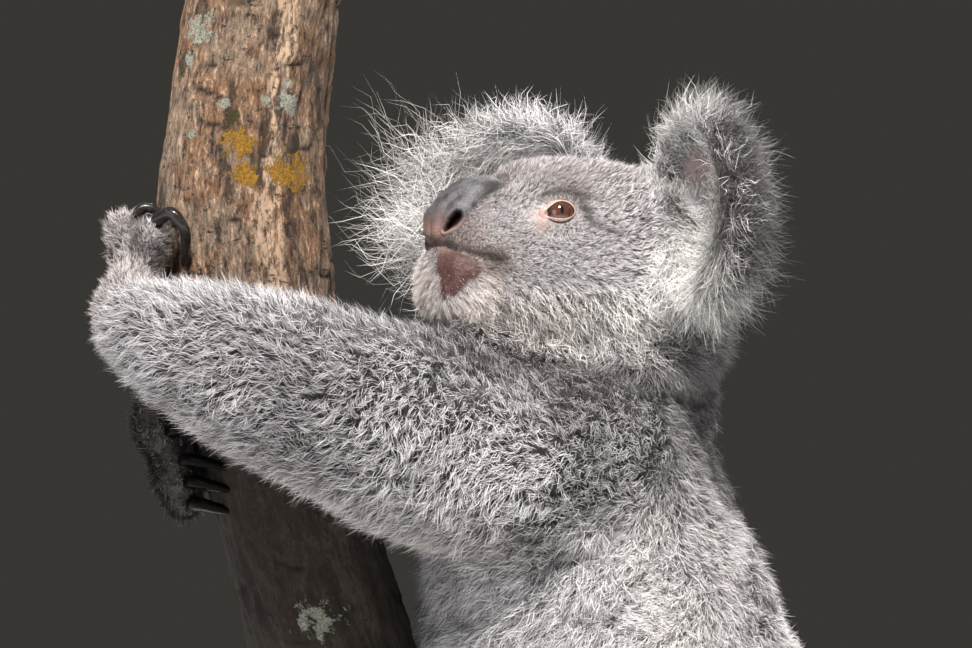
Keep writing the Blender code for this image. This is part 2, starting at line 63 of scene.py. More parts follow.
FLESH = (
    "head", "neck", "chest", "belly", "ear_left", "ear_right",
    "upper_arm_left", "forearm_left", "hand_left", "upper_arm_right", "forearm_right", "hand_right",
    "thigh_left", "shank_left", "foot_left", "thigh_right", "shank_right", "foot_right", "nose",
)
LIMB_PARTS = ("upper_arm", "forearm", "hand", "thigh", "shank", "foot")
SEED = 20260
MERGE = 0.00002  # CAD vertices closer than this become one


# ------------------------------------------------------------------ small tools
def deselect() -> None:
    """Leaves nothing selected."""
    for thing in bpy.context.selected_objects:
        thing.select_set(False)


def take(thing: bpy.types.Object) -> None:
    """Makes one object the only selected one, and the active one.

    Args:
        thing: The object to work on.
    """
    deselect()
    thing.select_set(True)
    bpy.context.view_layer.objects.active = thing


def apply_all(thing: bpy.types.Object) -> None:
    """Applies every modifier of an object in order.

    Args:
        thing: The object that carries the modifiers.
    """
    take(thing)
    for modifier in list(thing.modifiers):
        bpy.ops.object.modifier_apply(modifier=modifier.name)


@contextmanager
def editing(thing: bpy.types.Object) -> Iterator[None]:
    """Opens an object's mesh with all of it selected, for the operators in the with block.

    Args:
        thing: The object to edit.

    Yields:
        Nothing.
    """
    take(thing)
    bpy.ops.object.mode_set(mode="EDIT")
    bpy.ops.mesh.select_all(action="SELECT")
    yield
    bpy.ops.object.mode_set(mode="OBJECT")


def copy_of(node: str, name: str) -> bpy.types.Object:
    """Copies a CAD node's mesh into a new object, with its loose triangles merged.

    Args:
        node: The CAD node's name.
        name: The new object's name.

    Returns:
        The new object, at the origin.
    """
    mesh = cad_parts[node].data.copy()
    mesh.materials.clear()
    thing = bpy.data.objects.new(name, mesh)
    bpy.context.scene.collection.objects.link(thing)
    with editing(thing):
        bpy.ops.mesh.remove_doubles(threshold=MERGE)
        bpy.ops.mesh.normals_make_consistent(inside=False)
    return thing


def unit(vectors: Array) -> Array:
    """Scales vectors to length one.

    Args:
        vectors: Vectors along the last axis.

    Returns:
        The unit vectors.
    """
    return vectors / np.maximum(np.linalg.norm(vectors, axis=-1, keepdims=True), 1e-12)


def step(low: float, high: float, values: Array) -> Array:
    """Rises smoothly from 0 at low to 1 at high, or falls if low is above high.

    Args:
        low: Where the step starts.
        high: Where it ends.
        values: The values to grade.

    Returns:
        Shares from 0 to 1.
    """
    share = np.clip((values - low) / (high - low), 0.0, 1.0)
    return share * share * (3.0 - 2.0 * share)


def bell(values: Array, width: float) -> Array:
    """A soft bump, 1 where the values are 0 and about a third where they equal the width."""
    return np.exp(-((values / width) ** 2))


def spot(points: Array, centre: Place, reach: float) -> Array:
    """A soft round spot, 1 at its centre and near 0 beyond its reach.

    Args:
        points: Places to grade.
        centre: The spot's centre.
        reach: The distance at which the spot has faded to about a third.

    Returns:
        Shares from 0 to 1.
    """
    return np.exp(-np.sum((points - np.array(centre)) ** 2, axis=1) / reach**2)


class Noise:
    """Smooth repeatable noise in space, as a sum of lattice waves."""

    cells = 32
    gain = 1.4

    def __init__(self, seed: int) -> None:
        """Draws the lattice.

        Args:
            seed: Which noise it is.
        """
        corners = np.random.default_rng(seed).uniform(-1.0, 1.0, (self.cells,) * 3)
        self.lattice = corners.astype(np.float32)

    def at(self, points: Array, size: float, layers: int = 1) -> Array:
        """Reads the noise.

        Args:
            points: Places, one per row.
            size: The size of its largest lumps.
            layers: How many finer layers are added, each half the size and half as strong.

        Returns:
            Values from about -1 to 1.
        """
        total = np.zeros(len(points))
        strength = 1.0
        for _ in range(layers):
            total += strength * self._layer(points / size)
            size *= 0.5
            strength *= 0.5
        return total

    def _layer(self, places: Array) -> Array:
        """One layer of noise, by smooth mixing of the eight lattice corners round each place.

        Args:
            places: Places, in cells of the lattice.

        Returns:
            Values from about -1 to 1.
        """
        low = np.floor(places).astype(int)
        part = places - low
        part = part * part * (3.0 - 2.0 * part)
        total = np.zeros(len(places))
        for corner in range(8):
            pick = np.array([(corner >> k) & 1 for k in range(3)])
            cell = (low + pick) % self.cells
            share = np.prod(np.where(pick, part, 1.0 - part), axis=1)
            total += share * self.lattice[cell[:, 0], cell[:, 1], cell[:, 2]]
        return total * self.gain


# ------------------------------------------------------------------ the head's own directions
@dataclass(frozen=True)
class HeadFrame:
    """The head's own directions: forward to the nose, left and up, from the head's centre."""

    centre: Place = (0.0, -0.012, 0.635)
    yaw: float = math.radians(28)

    def axes(self) -> Array:
        """Rows are the forward, left and up directions."""
        c, s = math.cos(self.yaw), math.sin(self.yaw)
        return np.array([[-c, -s, 0.0], [s, -c, 0.0], [0.0, 0.0, 1.0]])

    def local(self, points: Array) -> Array:
        """Places in the head's own directions.

        Args:
            points: Places in the part's frame.

        Returns:
            Forward, left and up for each place.
        """
        return (points - np.array(self.centre)) @ self.axes().T

    def world(self, places: Array) -> Array:
        """Places in the part's frame.

        Args:
            places: Forward, left and up.

        Returns:
            The same places in the part's frame.
        """
        return np.asarray(places) @ self.axes() + np.array(self.centre)

    def turn(self, vectors: Array) -> Array:
        """Directions in the part's frame, from the head's own directions."""
        return np.asarray(vectors) @ self.axes()


HEAD = HeadFrame()


# ------------------------------------------------------------------ material sheets
class Sheet:
    """The nodes of one material or group, laid down one call at a time."""

    def __init__(self, tree: bpy.types.NodeTree) -> None:
        """Starts on a node tree.

        Args:
            tree: The tree to fill.
        """
        self.tree = tree

    def add(self, kind: str, settings: dict | None = None, **sockets: object) -> bpy.types.Node:
        """Adds a node.

        Args:
            kind: The node's type.
            settings: Properties of the node.
            sockets: Input values or the outputs to link to them, by name with _ for a space.

        Returns:
            The node.
        """
        node = self.tree.nodes.new(kind)
        for key, value in (settings or {}).items():
            setattr(node, key, value)
        self.feed(node, **sockets)
        return node

    def feed(self, node: bpy.types.Node, **sockets: object) -> None:
        """Sets or links several inputs.

        Args:
            node: The node.
            sockets: Input values or the outputs to link to them, by name with _ for a space.
        """
        for key, value in sockets.items():
            self.set(node, key.replace("_", " "), value)

    def set(self, node: bpy.types.Node, name: str | int, value: object) -> None:
        """Sets or links one input.

        Args:
            node: The node.
            name: The input's name or number.
            value: A value, or the output socket that feeds it.
        """
        if isinstance(name, str) and name.startswith("in"):
            name = int(name[2:])
        if isinstance(value, Socket):
            self.tree.links.new(value, node.inputs[name])
        else:
            node.inputs[name].default_value = value

    def read(self, name: str) -> Socket:
        """The value of a mesh attribute."""
        return self.add("ShaderNodeAttribute", {"attribute_name": name}).outputs["Fac"]

    def times(self, a: object, b: object, clamp: bool = False) -> Socket:
        """The product of two values."""
        return self.maths("MULTIPLY", a, b, clamp)

    def plus(self, a: object, b: object, clamp: bool = False) -> Socket:
        """The sum of two values."""
        return self.maths("ADD", a, b, clamp)

    def minus(self, a: object, b: object) -> Socket:
        """The first value less the second."""
        return self.maths("SUBTRACT", a, b)

    def maths(self, operation: str, a: object, b: object = 0.0, clamp: bool = False) -> Socket:
        """One sum on two values.

        Args:
            operation: The sum's name.
            a: The first value or socket.
            b: The second value or socket.
            clamp: Whether the result is kept from 0 to 1.

        Returns:
            The result.
        """
        settings = {"operation": operation, "use_clamp": clamp}
        return self.add("ShaderNodeMath", settings, in0=a, in1=b).outputs[0]

    def grade(self, value: object, low: float, high: float, bottom: float = 0.0, top: float = 1.0) -> Socket:
        """Maps a span of a value to another span, smoothly and clamped.

        Args:
            value: The socket to map.
            low: The value that gives bottom.
            high: The value that gives top.
            bottom: The result at low.
            top: The result at high.

        Returns:
            The graded value.
        """
        node = self.add("ShaderNodeMapRange", {"interpolation_type": "SMOOTHSTEP"}, Value=value)
        for name, number in (("From Min", low), ("From Max", high), ("To Min", bottom), ("To Max", top)):
            self.set(node, name, number)
        return node.outputs["Result"]

    def blend(self, share: object, a: object, b: object, kind: str = "MIX") -> Socket:
        """Mixes two colours.

        Args:
            share: How much of b shows.
            a: The first colour or socket.
            b: The second colour or socket.
            kind: The way they mix.

        Returns:
            The colour.
        """
        node = self.add("ShaderNodeMix", {"data_type": "RGBA", "blend_type": kind})
        for number, value in ((0, share), (6, a), (7, b)):
            self.set(node, f"in{number}", value)
        return node.outputs[2]

    def noise(self, vector: object, scale: float, detail: float = 3.0, rough: float = 0.55) -> Socket:
        """Cloudy noise.

        Args:
            vector: The coordinates.
            scale: Lumps per metre.
            detail: How many finer layers it has.
            rough: How strong they are.

        Returns:
            The noise, about 0 to 1.
        """
        node = self.add("ShaderNodeTexNoise", Vector=vector, Scale=scale, Detail=detail, Roughness=rough)
        return node.outputs["Fac"]

    def stretched(self, scale: Place = (1, 1, 1), here: Socket | None = None) -> Socket:
        """Object coordinates, or those given, stretched by a scale per axis."""
        here = here or self.add("ShaderNodeTexCoord").outputs["Object"]
        return self.add("ShaderNodeMapping", Vector=here, Scale=scale).outputs["Vector"]

    def bump(self, height: object, distance: float, strength: float = 1.0) -> Socket:
        """A bumpy normal from a height."""
        node = self.add("ShaderNodeBump", Height=height, Distance=distance, Strength=strength)
        return node.outputs["Normal"]

    def square(self, value: object) -> Socket:
        """A value times itself."""
        return self.times(value, value)

    def tinted(self, marks: tuple[str, ...]) -> bpy.types.Node:
        """Adds a node of the coat's tint, fed with the mesh's own marks.

        Args:
            marks: The names of the inputs to feed.

        Returns:
            The node.
        """
        tint = self.add("ShaderNodeGroup", {"node_tree": CoatTint.tree()})
        self.feed(tint, **{label: self.read(label.lower()) for label in marks})
        return tint


def new_material(name: str) -> tuple[bpy.types.Material, Sheet, bpy.types.Node]:
    """Starts a material.

    Args:
        name: Its name.

    Returns:
        The material, its sheet and its Principled shader.
    """
    material = bpy.data.materials.new(name)
    material.use_nodes = True
    return material, Sheet(material.node_tree), material.node_tree.nodes["Principled BSDF"]


def new_group(
    name: str, inputs: tuple[str, ...], output: str, kind: str,
) -> tuple[bpy.types.NodeTree, Sheet, bpy.types.Node]:
    """Starts a shader node group whose inputs are plain values.

    Args:
        name: Its name.
        inputs: Its inputs' names.
        output: Its output's name.
        kind: The output's socket type.

    Returns:
        The group, its sheet and its input node.
    """
    group = bpy.data.node_groups.new(name, "ShaderNodeTree")
    for label in inputs:
        group.interface.new_socket(label, in_out="INPUT", socket_type="NodeSocketFloat")
    group.interface.new_socket(output, in_out="OUTPUT", socket_type=kind)
    sheet = Sheet(group)
    return group, sheet, sheet.add("NodeGroupInput")


@dataclass(frozen=True)
class Hues:
    """The coat's colours."""

    root: Colour = (0.024, 0.020, 0.021, 1)
    ash: Colour = (0.275, 0.262, 0.280, 1)
    silver: Colour = (0.86, 0.845, 0.865, 1)
    white: Colour = (0.95, 0.935, 0.915, 1)
    warm: Colour = (0.52, 0.37, 0.31, 1)
    smoke: Colour = (0.045, 0.036, 0.034, 1)


class CoatTint:
    """The colour of coat and skin alike, from the marks that both of them carry."""

    marks = ("Along", "Tone", "Pale", "Warm", "Dark")
    group: bpy.types.NodeTree | None = None

    @classmethod
    def tree(cls) -> bpy.types.NodeTree:
        """The group, built on first use."""
        if cls.group is None:
            cls.group = cls._build(Hues())
        return cls.group

    @classmethod
    def _build(cls, hues: Hues) -> bpy.types.NodeTree:
        """Lays down the group's nodes.

        Args:
            hues: The coat's colours.

        Returns:
            The group.
        """
        group, sheet, given = new_group("coat_tint", cls.marks, "Colour", "NodeSocketColor")
        along, tone, pale, warm, dark = (given.outputs[label] for label in cls.marks)
        lift = sheet.plus(sheet.times(pale, 0.9), sheet.times(tone, 0.75), True)
        tip = sheet.blend(lift, hues.ash, hues.silver)
        tip = sheet.blend(sheet.grade(pale, 0.45, 1.0), tip, hues.white)
        tip = sheet.blend(sheet.times(warm, 0.8, True), tip, hues.warm)
        root = sheet.blend(sheet.times(pale, 0.28, True), hues.root, hues.silver)
        hair = sheet.blend(sheet.grade(along, 0.08, 0.66), root, tip)
        shade = sheet.times(dark, sheet.grade(along, 0.65, 1.0, 1.0, 0.35), True)
        hair = sheet.blend(shade, hair, hues.smoke)
        sheet.add("NodeGroupOutput", in0=hair)
        return group


@dataclass(frozen=True)
class CoatFinish:
    """Fine dry hair, darker at the root than at the tip."""

    name: str = "coat_hair"
    roughness: float = 0.62

    def material(self) -> bpy.types.Material:
        """Builds the material, which reads the hair's own marks."""
        material, sheet, shader = new_material(self.name)
        tint = sheet.tinted(CoatTint.marks)
        sheet.feed(
            shader,
            Base_Color=tint.outputs[0], Roughness=self.roughness, Specular_IOR_Level=0.35,
            Sheen_Weight=0.15,
        )
        return material


@dataclass(frozen=True)
class SkinFinish:
    """The skin under the coat: downy like the coat, with bare pink-brown places, a painted highlight on the
    nose and painted shade in the mouth's slit and nostrils.
    """

    name: str = "koala_skin"
    bare: Colour = (0.058, 0.022, 0.018, 1)
    lip: Colour = (0.102, 0.047, 0.041, 1)
    pink: Colour = (0.62, 0.43, 0.40, 1)
    grey: Colour = (0.042, 0.038, 0.040, 1)
    painted_sheen: Colour = (0.150, 0.145, 0.158, 1)
    pit: Colour = (0.05, 0.045, 0.045, 1)
    rim: Colour = (0.30, 0.180, 0.150, 1)
    black: Colour = (0.008, 0.004, 0.003, 1)

    def material(self) -> bpy.types.Material:
        """Builds the material."""
        material, sheet, shader = new_material(self.name)
        tint = sheet.tinted(CoatTint.marks[1:])
        here = sheet.stretched()
        down, grain, cloud = sheet.noise(here, 900, 4), sheet.noise(here, 420, 5), sheet.noise(here, 140, 4)
        settings = {"feature": "SMOOTH_F1"}
        pebble = sheet.add("ShaderNodeTexVoronoi", settings, Vector=here, Scale=1250.0).outputs["Distance"]
        under = sheet.plus(0.06, sheet.times(sheet.read("short"), 0.42))
        sheet.set(tint, "Along", sheet.times(sheet.grade(down, 0.3, 0.7, 0.25, 1.0), under))
        bare = sheet.blend(sheet.grade(grain, 0.35, 0.7), self.bare, self.lip)
        bare = sheet.blend(sheet.read("flush"), bare, self.pink)
        leather = sheet.read("leather")
        # Painted highlight: a paler bluish grey in patches over the nose's upper front, where the light falls
        # on it.
        sheen_share = sheet.times(sheet.grade(cloud, 0.30, 0.62), sheet.read("sheen"))
        nose = sheet.blend(sheen_share, self.grey, self.painted_sheen)
        nose = sheet.blend(sheet.grade(pebble, 0.25, 0.7, 0.0, 0.55), nose, self.pit)
        nose = sheet.blend(sheet.read("flush"), nose, self.rim)
        colour = sheet.blend(sheet.read("bare"), tint.outputs[0], bare)
        colour = sheet.blend(leather, colour, nose)
        # Painted shade: black inside the mouth's slit and the nostrils, with little specular.
        colour = sheet.blend(sheet.read("cleft"), colour, self.black)
        sheet.feed(shader, Base_Color=colour)
        rough = sheet.grade(sheet.read("bare"), 0, 1, 0.9, 0.55)
        sheet.feed(
            shader,
            Roughness=sheet.minus(rough, sheet.times(leather, 0.36)),
            Specular_IOR_Level=sheet.grade(sheet.read("cleft"), 0, 1, 0.5, 0.05),
        )
        skin_height = sheet.plus(down, grain)
        nose_height = sheet.minus(0.6, sheet.times(pebble, 0.6))
        height = sheet.add("ShaderNodeMix", in0=leather, in2=skin_height, in3=nose_height)
        sheet.feed(shader, Normal=sheet.bump(height.outputs[0], 0.0009, 0.6))
        return material


@dataclass(frozen=True)
class EyeFinish:
    """A wet chestnut iris with a narrow upright pupil, set in a pale white."""

    name: str = "eye_wet"
    iris: Colour = (0.050, 0.018, 0.010, 1)
    amber: Colour = (0.125, 0.045, 0.022, 1)
    limbus: Colour = (0.018, 0.008, 0.006, 1)
    white: Colour = (0.52, 0.42, 0.38, 1)
    pupil: Colour = (0.004, 0.003, 0.003, 1)
    iris_radius: float = 0.0068
    pupil_height: float = 0.0019
    pupil_width: float = 0.00085

    def material(self) -> bpy.types.Material:
        """Builds the material on the eye's own across and upward marks."""
        material, sheet, shader = new_material(self.name)
        across, up = sheet.read("across"), sheet.read("upward")
        radius = sheet.maths("SQRT", sheet.plus(sheet.square(across), sheet.square(up)))
        angle = sheet.maths("ARCTAN2", up, across)
        place = sheet.add("ShaderNodeCombineXYZ", in0=angle, in1=sheet.times(radius, 240.0)).outputs[0]
        fibres = sheet.noise(place, 7.0, 5, 0.7)
        colour = sheet.blend(sheet.grade(fibres, 0.38, 0.66), self.iris, self.amber)
        edge = sheet.grade(radius, 0.72 * self.iris_radius, 0.97 * self.iris_radius)
        colour = sheet.blend(edge, colour, self.limbus)
        slit_x = sheet.square(sheet.maths("DIVIDE", across, self.pupil_width))
        slit_y = sheet.square(sheet.maths("DIVIDE", up, self.pupil_height))
        colour = sheet.blend(sheet.grade(sheet.plus(slit_x, slit_y), 1.5, 0.7), colour, self.pupil)
        outside = sheet.grade(radius, self.iris_radius, 1.06 * self.iris_radius)
        colour = sheet.blend(outside, colour, self.white)
        sheet.feed(
            shader,
            Base_Color=colour, Roughness=0.06, Coat_Weight=1.0, Coat_Roughness=0.02,
            Specular_IOR_Level=0.6,
        )
        return material


@dataclass(frozen=True)
class LidFinish:
    """Soft pink-cream lid skin, brown in its crease with painted shade, and wet at its edge."""

    name: str = "eyelid_skin"
    cream: Colour = (0.64, 0.50, 0.44, 1)
    pink: Colour = (0.42, 0.25, 0.21, 1)
    dusk: Colour = (0.12, 0.065, 0.055, 1)

    def material(self) -> bpy.types.Material:
        """Builds the material on the lid's rim mark, at its inner edge, and its corner mark."""
        material, sheet, shader = new_material(self.name)
        grain = sheet.noise(sheet.stretched(), 900, 4)
        colour = sheet.blend(sheet.grade(grain, 0.3, 0.75), self.cream, self.pink)
        # The lids' inner edge: the dark lid margin, with painted shade where the lid meets the eye.
        colour = sheet.blend(sheet.read("rim"), colour, self.dusk)
        colour = sheet.blend(sheet.read("corner"), colour, self.pink)
        sheet.feed(
            shader,
            Base_Color=colour, Roughness=sheet.grade(sheet.read("rim"), 0, 1, 0.55, 0.25),
            Subsurface_Weight=0.1, Subsurface_Radius=(0.003, 0.001, 0.0006),
            Normal=sheet.bump(grain, 0.0004, 0.6),
        )
        return material


@dataclass(frozen=True)
class ClawFinish:
    """Glossy black horn with fine lengthwise streaks."""

    name: str = "claw_horn"
    polish: float = 0.3
    shine: float = 0.4
    black: Colour = (0.016, 0.013, 0.012, 1)
    streak: Colour = (0.085, 0.078, 0.080, 1)

    def material(self) -> bpy.types.Material:
        """Builds the material."""
        material, sheet, shader = new_material(self.name)
        streaks = sheet.noise(sheet.stretched((1, 1, 0.25)), 900, 4)
        cloud = sheet.noise(sheet.stretched(), 120, 2)
        share = sheet.times(sheet.grade(streaks, 0.5, 0.8), sheet.grade(cloud, 0.4, 0.7))
        sheet.feed(
            shader,
            Base_Color=sheet.blend(share, self.black, self.streak),
            Roughness=sheet.grade(cloud, 0.3, 0.7, 0.18, 0.34), Specular_IOR_Level=self.shine,
            Coat_Weight=self.polish, Coat_Roughness=0.12, Normal=sheet.bump(streaks, 0.0003, 0.5),
        )
        return material


# Painted shadow: the far hand's claws get a near-black copy of the horn with no gloss, for the shade they lie
# in.
SHADOW_BLACK = (0.003, 0.0025, 0.002, 1)
SHADED_HORN = ClawFinish("claw_horn_shaded", polish=0.0, shine=0.05, black=SHADOW_BLACK, streak=SHADOW_BLACK)


@dataclass(frozen=True)
class BarkFinish:
    """Flaky grey-brown bark with a pale fibrous strip, lichens, moss and cut ends, and painted shadow low
    down.
    """

    name: str = "stem_bark"
    crack: Colour = (0.014, 0.009, 0.006, 1)
    umber: Colour = (0.050, 0.030, 0.020, 1)
    brown: Colour = (0.36, 0.190, 0.098, 1)
    grey: Colour = (0.40, 0.285, 0.200, 1)
    tan: Colour = (0.98, 0.68, 0.46, 1)
    rust: Colour = (0.26, 0.105, 0.045, 1)
    lichen: Colour = (0.70, 0.70, 0.58, 1)
    ochre: Colour = (0.66, 0.33, 0.020, 1)
    moss: Colour = (0.11, 0.085, 0.010, 1)
    wood: Colour = (0.52, 0.36, 0.21, 1)
    heart: Colour = (0.33, 0.20, 0.11, 1)

    def material(self) -> bpy.types.Material:
        """Builds the material on the stem's straightened places."""
        material, sheet, shader = new_material(self.name)
        here = sheet.add("ShaderNodeAttribute", {"attribute_name": "straight"}).outputs["Vector"]
        long, short, flat = (sheet.stretched((1, 1, rise), here) for rise in (0.32, 0.36, 2.2))
        plate, fibre = sheet.noise(long, 75, 5, 0.68), sheet.noise(long, 420, 6, 0.70)
        grit, split = sheet.noise(short, 300, 9, 0.86), sheet.noise(flat, 95, 7, 0.78)
        flake, fine = sheet.noise(here, 230, 7, 0.72), sheet.noise(here, 900, 5, 0.75)
        cloud = sheet.noise(here, 30, 4, 0.6)
        colour = sheet.blend(sheet.grade(cloud, 0.40, 0.60), self.brown, self.grey)
        colour = sheet.blend(sheet.grade(flake, 0.52, 0.64, 0.0, 0.75), colour, self.rust)
        colour = sheet.blend(sheet.grade(fibre, 0.50, 0.40, 0.0, 0.45), colour, self.umber)
        colour = sheet.blend(sheet.grade(grit, 0.53, 0.60, 0.0, 0.9), colour, self.tan)
        strip = sheet.plus(sheet.read("strip"), sheet.minus(plate, 0.5))
        pale = sheet.times(sheet.grade(strip, 0.42, 0.55), sheet.grade(fibre, 0.40, 0.56, 0.15, 1.0))
        colour = sheet.blend(pale, colour, self.tan)
        colour = sheet.blend(sheet.grade(plate, 0.47, 0.38, 0.0, 0.85), colour, self.umber)
        colour = sheet.blend(sheet.grade(grit, 0.48, 0.42, 0.0, 0.9), colour, self.crack)
        colour = sheet.blend(sheet.grade(split, 0.43, 0.38, 0.0, 0.95), colour, self.crack)
        colour = sheet.blend(sheet.read("crack"), colour, self.crack)
        # Painted shadow: the bark darkens to near black towards the bottom of the stem, where the animal
        # shades it.
        damp = sheet.plus(sheet.read("damp"), sheet.times(sheet.minus(cloud, 0.5), 0.7))
        colour = sheet.blend(sheet.grade(damp, 0.35, 0.65, 0.0, 0.92), colour, self.crack)
        ragged = sheet.times(sheet.minus(sheet.noise(here, 150, 8, 0.80), 0.5), 4.2)
        heights = sheet.plus(sheet.times(grit, 1.8), sheet.times(fibre, 0.6))
        for mark, hue in (("ochre", self.ochre), ("moss", self.moss), ("lichen", self.lichen)):
            cover = sheet.read(mark)
            torn = sheet.times(ragged, sheet.grade(cover, 0, 0.2))
            patch = sheet.grade(sheet.plus(cover, torn), 0.62, 0.72)
            dusk = (*(0.30 * part for part in hue[:3]), 1)
            shade = sheet.blend(sheet.grade(fine, 0.35, 0.65), dusk, hue)
            colour = sheet.blend(patch, colour, shade)
            heights = sheet.plus(heights, sheet.times(patch, 0.45))
        settings = {"wave_type": "RINGS", "rings_direction": "Z"}
        rings = sheet.add("ShaderNodeTexWave", settings, Vector=here, Scale=75.0, Distortion=1.5)
        cut = sheet.blend(sheet.grade(rings.outputs["Fac"], 0.2, 0.9), self.wood, self.heart)
        colour = sheet.blend(sheet.read("cut"), colour, cut)
        sheet.feed(
            shader,
            Base_Color=colour, Roughness=sheet.grade(flake, 0.3, 0.7, 0.92, 0.72),
            Normal=sheet.bump(heights, 0.0030, 1.0),
        )
        return material


@dataclass(frozen=True)
class BaseFinish:
    """Oiled dark walnut for the stand's base."""

    name: str = "base_walnut"
    dark: Colour = (0.055, 0.026, 0.013, 1)
    light: Colour = (0.17, 0.085, 0.042, 1)
    pore: Colour = (0.02, 0.010, 0.006, 1)

    def material(self) -> bpy.types.Material:
        """Builds the material."""
        material, sheet, shader = new_material(self.name)
        grain = sheet.noise(sheet.stretched((0.10, 1, 1)), 110, 6, 0.6)
        pores = sheet.noise(sheet.stretched((0.03, 1, 1)), 900, 3, 0.6)
        colour = sheet.blend(sheet.grade(grain, 0.35, 0.65), self.dark, self.light)
        colour = sheet.blend(sheet.grade(pores, 0.60, 0.70, 0.0, 0.7), colour, self.pore)
        sheet.feed(
            shader,
            Base_Color=colour, Roughness=sheet.grade(pores, 0.4, 0.7, 0.38, 0.55), Coat_Weight=0.2,
            Normal=sheet.bump(pores, 0.0002, 0.4),
        )
        return material


@dataclass(frozen=True)
class SteelFinish:
    """Brushed steel for the rod and its flange."""

    name: str = "brushed_steel"
    dark: Colour = (0.42, 0.42, 0.43, 1)
    light: Colour = (0.60, 0.60, 0.61, 1)

    def material(self) -> bpy.types.Material:
        """Builds the material."""
        material, sheet, shader = new_material(self.name)
        brush = sheet.noise(sheet.stretched((1, 1, 14)), 260, 4, 0.6)
        sheet.feed(
            shader,
            Base_Color=sheet.blend(brush, self.dark, self.light), Metallic=1.0,
            Roughness=sheet.grade(brush, 0.3, 0.7, 0.26, 0.42), Normal=sheet.bump(brush, 0.00008, 0.3),
        )
        return material


def give(thing: bpy.types.Object, finish: object) -> None:
    """Puts one finish on the whole of an object.

    Args:
        thing: The object.
        finish: A finish with a material method.
    """
    material = bpy.data.materials.get(finish.name) or finish.material()
    thing.data.materials.clear()
    thing.data.materials.append(material)


def report(thing: bpy.types.Object) -> None:
    """Logs a finished piece."""
    log.info("%s: %d vertices", thing.name, len(thing.data.vertices))


def write_mark(thing: bpy.types.Object, name: str, values: Array) -> None:
    """Stores a value or a vector per vertex, for the materials to read.

    Args:
        thing: The object.
        name: The attribute's name.
        values: One row per vertex.
    """
    kind, key = ("FLOAT", "value") if values.ndim == 1 else ("FLOAT_VECTOR", "vector")
    layer = thing.data.attributes.new(name, kind, "POINT")
    layer.data.foreach_set(key, np.ascontiguousarray(values, np.float32).ravel())


def places_of(thing: bpy.types.Object) -> Array:
    """Reads the vertices' places.

    Args:
        thing: The object.

    Returns:
        One row per vertex.
    """
    flat = np.empty(len(thing.data.vertices) * 3, np.float32)
    thing.data.vertices.foreach_get("co", flat)
    return flat.reshape(-1, 3).astype(float)


def normals_of(thing: bpy.types.Object) -> Array:
    """Reads the vertices' normals.

    Args:
        thing: The object.

    Returns:
        One row per vertex.
    """
    flat = np.empty(len(thing.data.vertices) * 3, np.float32)
    thing.data.vertex_normals.foreach_get("vector", flat)
    return flat.reshape(-1, 3).astype(float)


def put_places(thing: bpy.types.Object, places: Array) -> None:
    """Moves the vertices to new places.

    Args:
        thing: The object.
        places: One row per vertex.
    """
    thing.data.vertices.foreach_set("co", np.ascontiguousarray(places, np.float32).ravel())
    thing.data.update()


def remesh(thing: bpy.types.Object, voxel: float, rounds: int) -> None:
    """Makes one closed even mesh of an object and smooths it.

    Args:
        thing: The object.
        voxel: The mesh's cell size.
        rounds: Rounds of smoothing.
    """
    cells = thing.modifiers.new("cells", "REMESH")
    cells.mode = "VOXEL"
    cells.voxel_size = voxel
    cells.use_smooth_shade = True
    if rounds:
        soft = thing.modifiers.new("soft", "SMOOTH")
        soft.factor = 0.5
        soft.iterations = rounds
    apply_all(thing)


def joined(pieces: list[bpy.types.Object]) -> bpy.types.Object:
    """Joins objects into the first one.

    Args:
        pieces: The objects, the one that stays first.

    Returns:
        The first object.
    """
    take(pieces[0])
    for piece in pieces[1:]:
        piece.select_set(True)
    bpy.ops.object.join()
    return bpy.context.active_object


def swell_by(thing: bpy.types.Object, amount: float) -> None:
    """Adds a modifier that moves an object's surface outwards by an amount."""
    swell = thing.modifiers.new("swell", "DISPLACE")
    swell.strength, swell.mid_level = amount, 0.0


def tree_of(mesh: bpy.types.Mesh) -> BVHTree:
    """A search tree of a mesh's faces."""
    return BVHTree.FromPolygons([v.co for v in mesh.vertices], [face.vertices for face in mesh.polygons])


def path_distance(points: Array, path: Path) -> tuple[Array, Array]:
    """How far points lie from a bent line whose rows may end in a radius.

    Args:
        points: The points.
        path: Rows of x, y, z and, if it has one, a radius.

    Returns:
        The distance, over the radius where there is one, and the share of the line's rows passed.
    """
    rows = np.array(path)
    best = np.full(len(points), np.inf)
    share = np.zeros(len(points))
    for k in range(len(rows) - 1):
        a, b = rows[k], rows[k + 1]
        along = b[:3] - a[:3]
        t = np.clip((points - a[:3]) @ along / (along @ along), 0, 1)
        gap = np.linalg.norm(points - a[:3] - t[:, None] * along, axis=1)
        if rows.shape[1] == 4:
            gap = gap / (a[3] + t * (b[3] - a[3]))
        near = gap < best
        best[near] = gap[near]
        share[near] = (k + t[near]) / (len(rows) - 1)
    return best, share


def gap_to(points: Array, path: Path) -> Array:
    """How far points lie from a bent line, over its radius where it has one."""
    return path_distance(points, path)[0]


# ------------------------------------------------------------------ where the coat grows
@dataclass(frozen=True)
class Growth:
    """How the coat grows on one part of the body: lengths in metres, lift in degrees."""

    depth: float
    length: float
    lift: float
    width: float = 0.00055
    density: float = 0.70
    clump: float = 0.0060
    pale: float = 0.0
    tone: float = 0.5


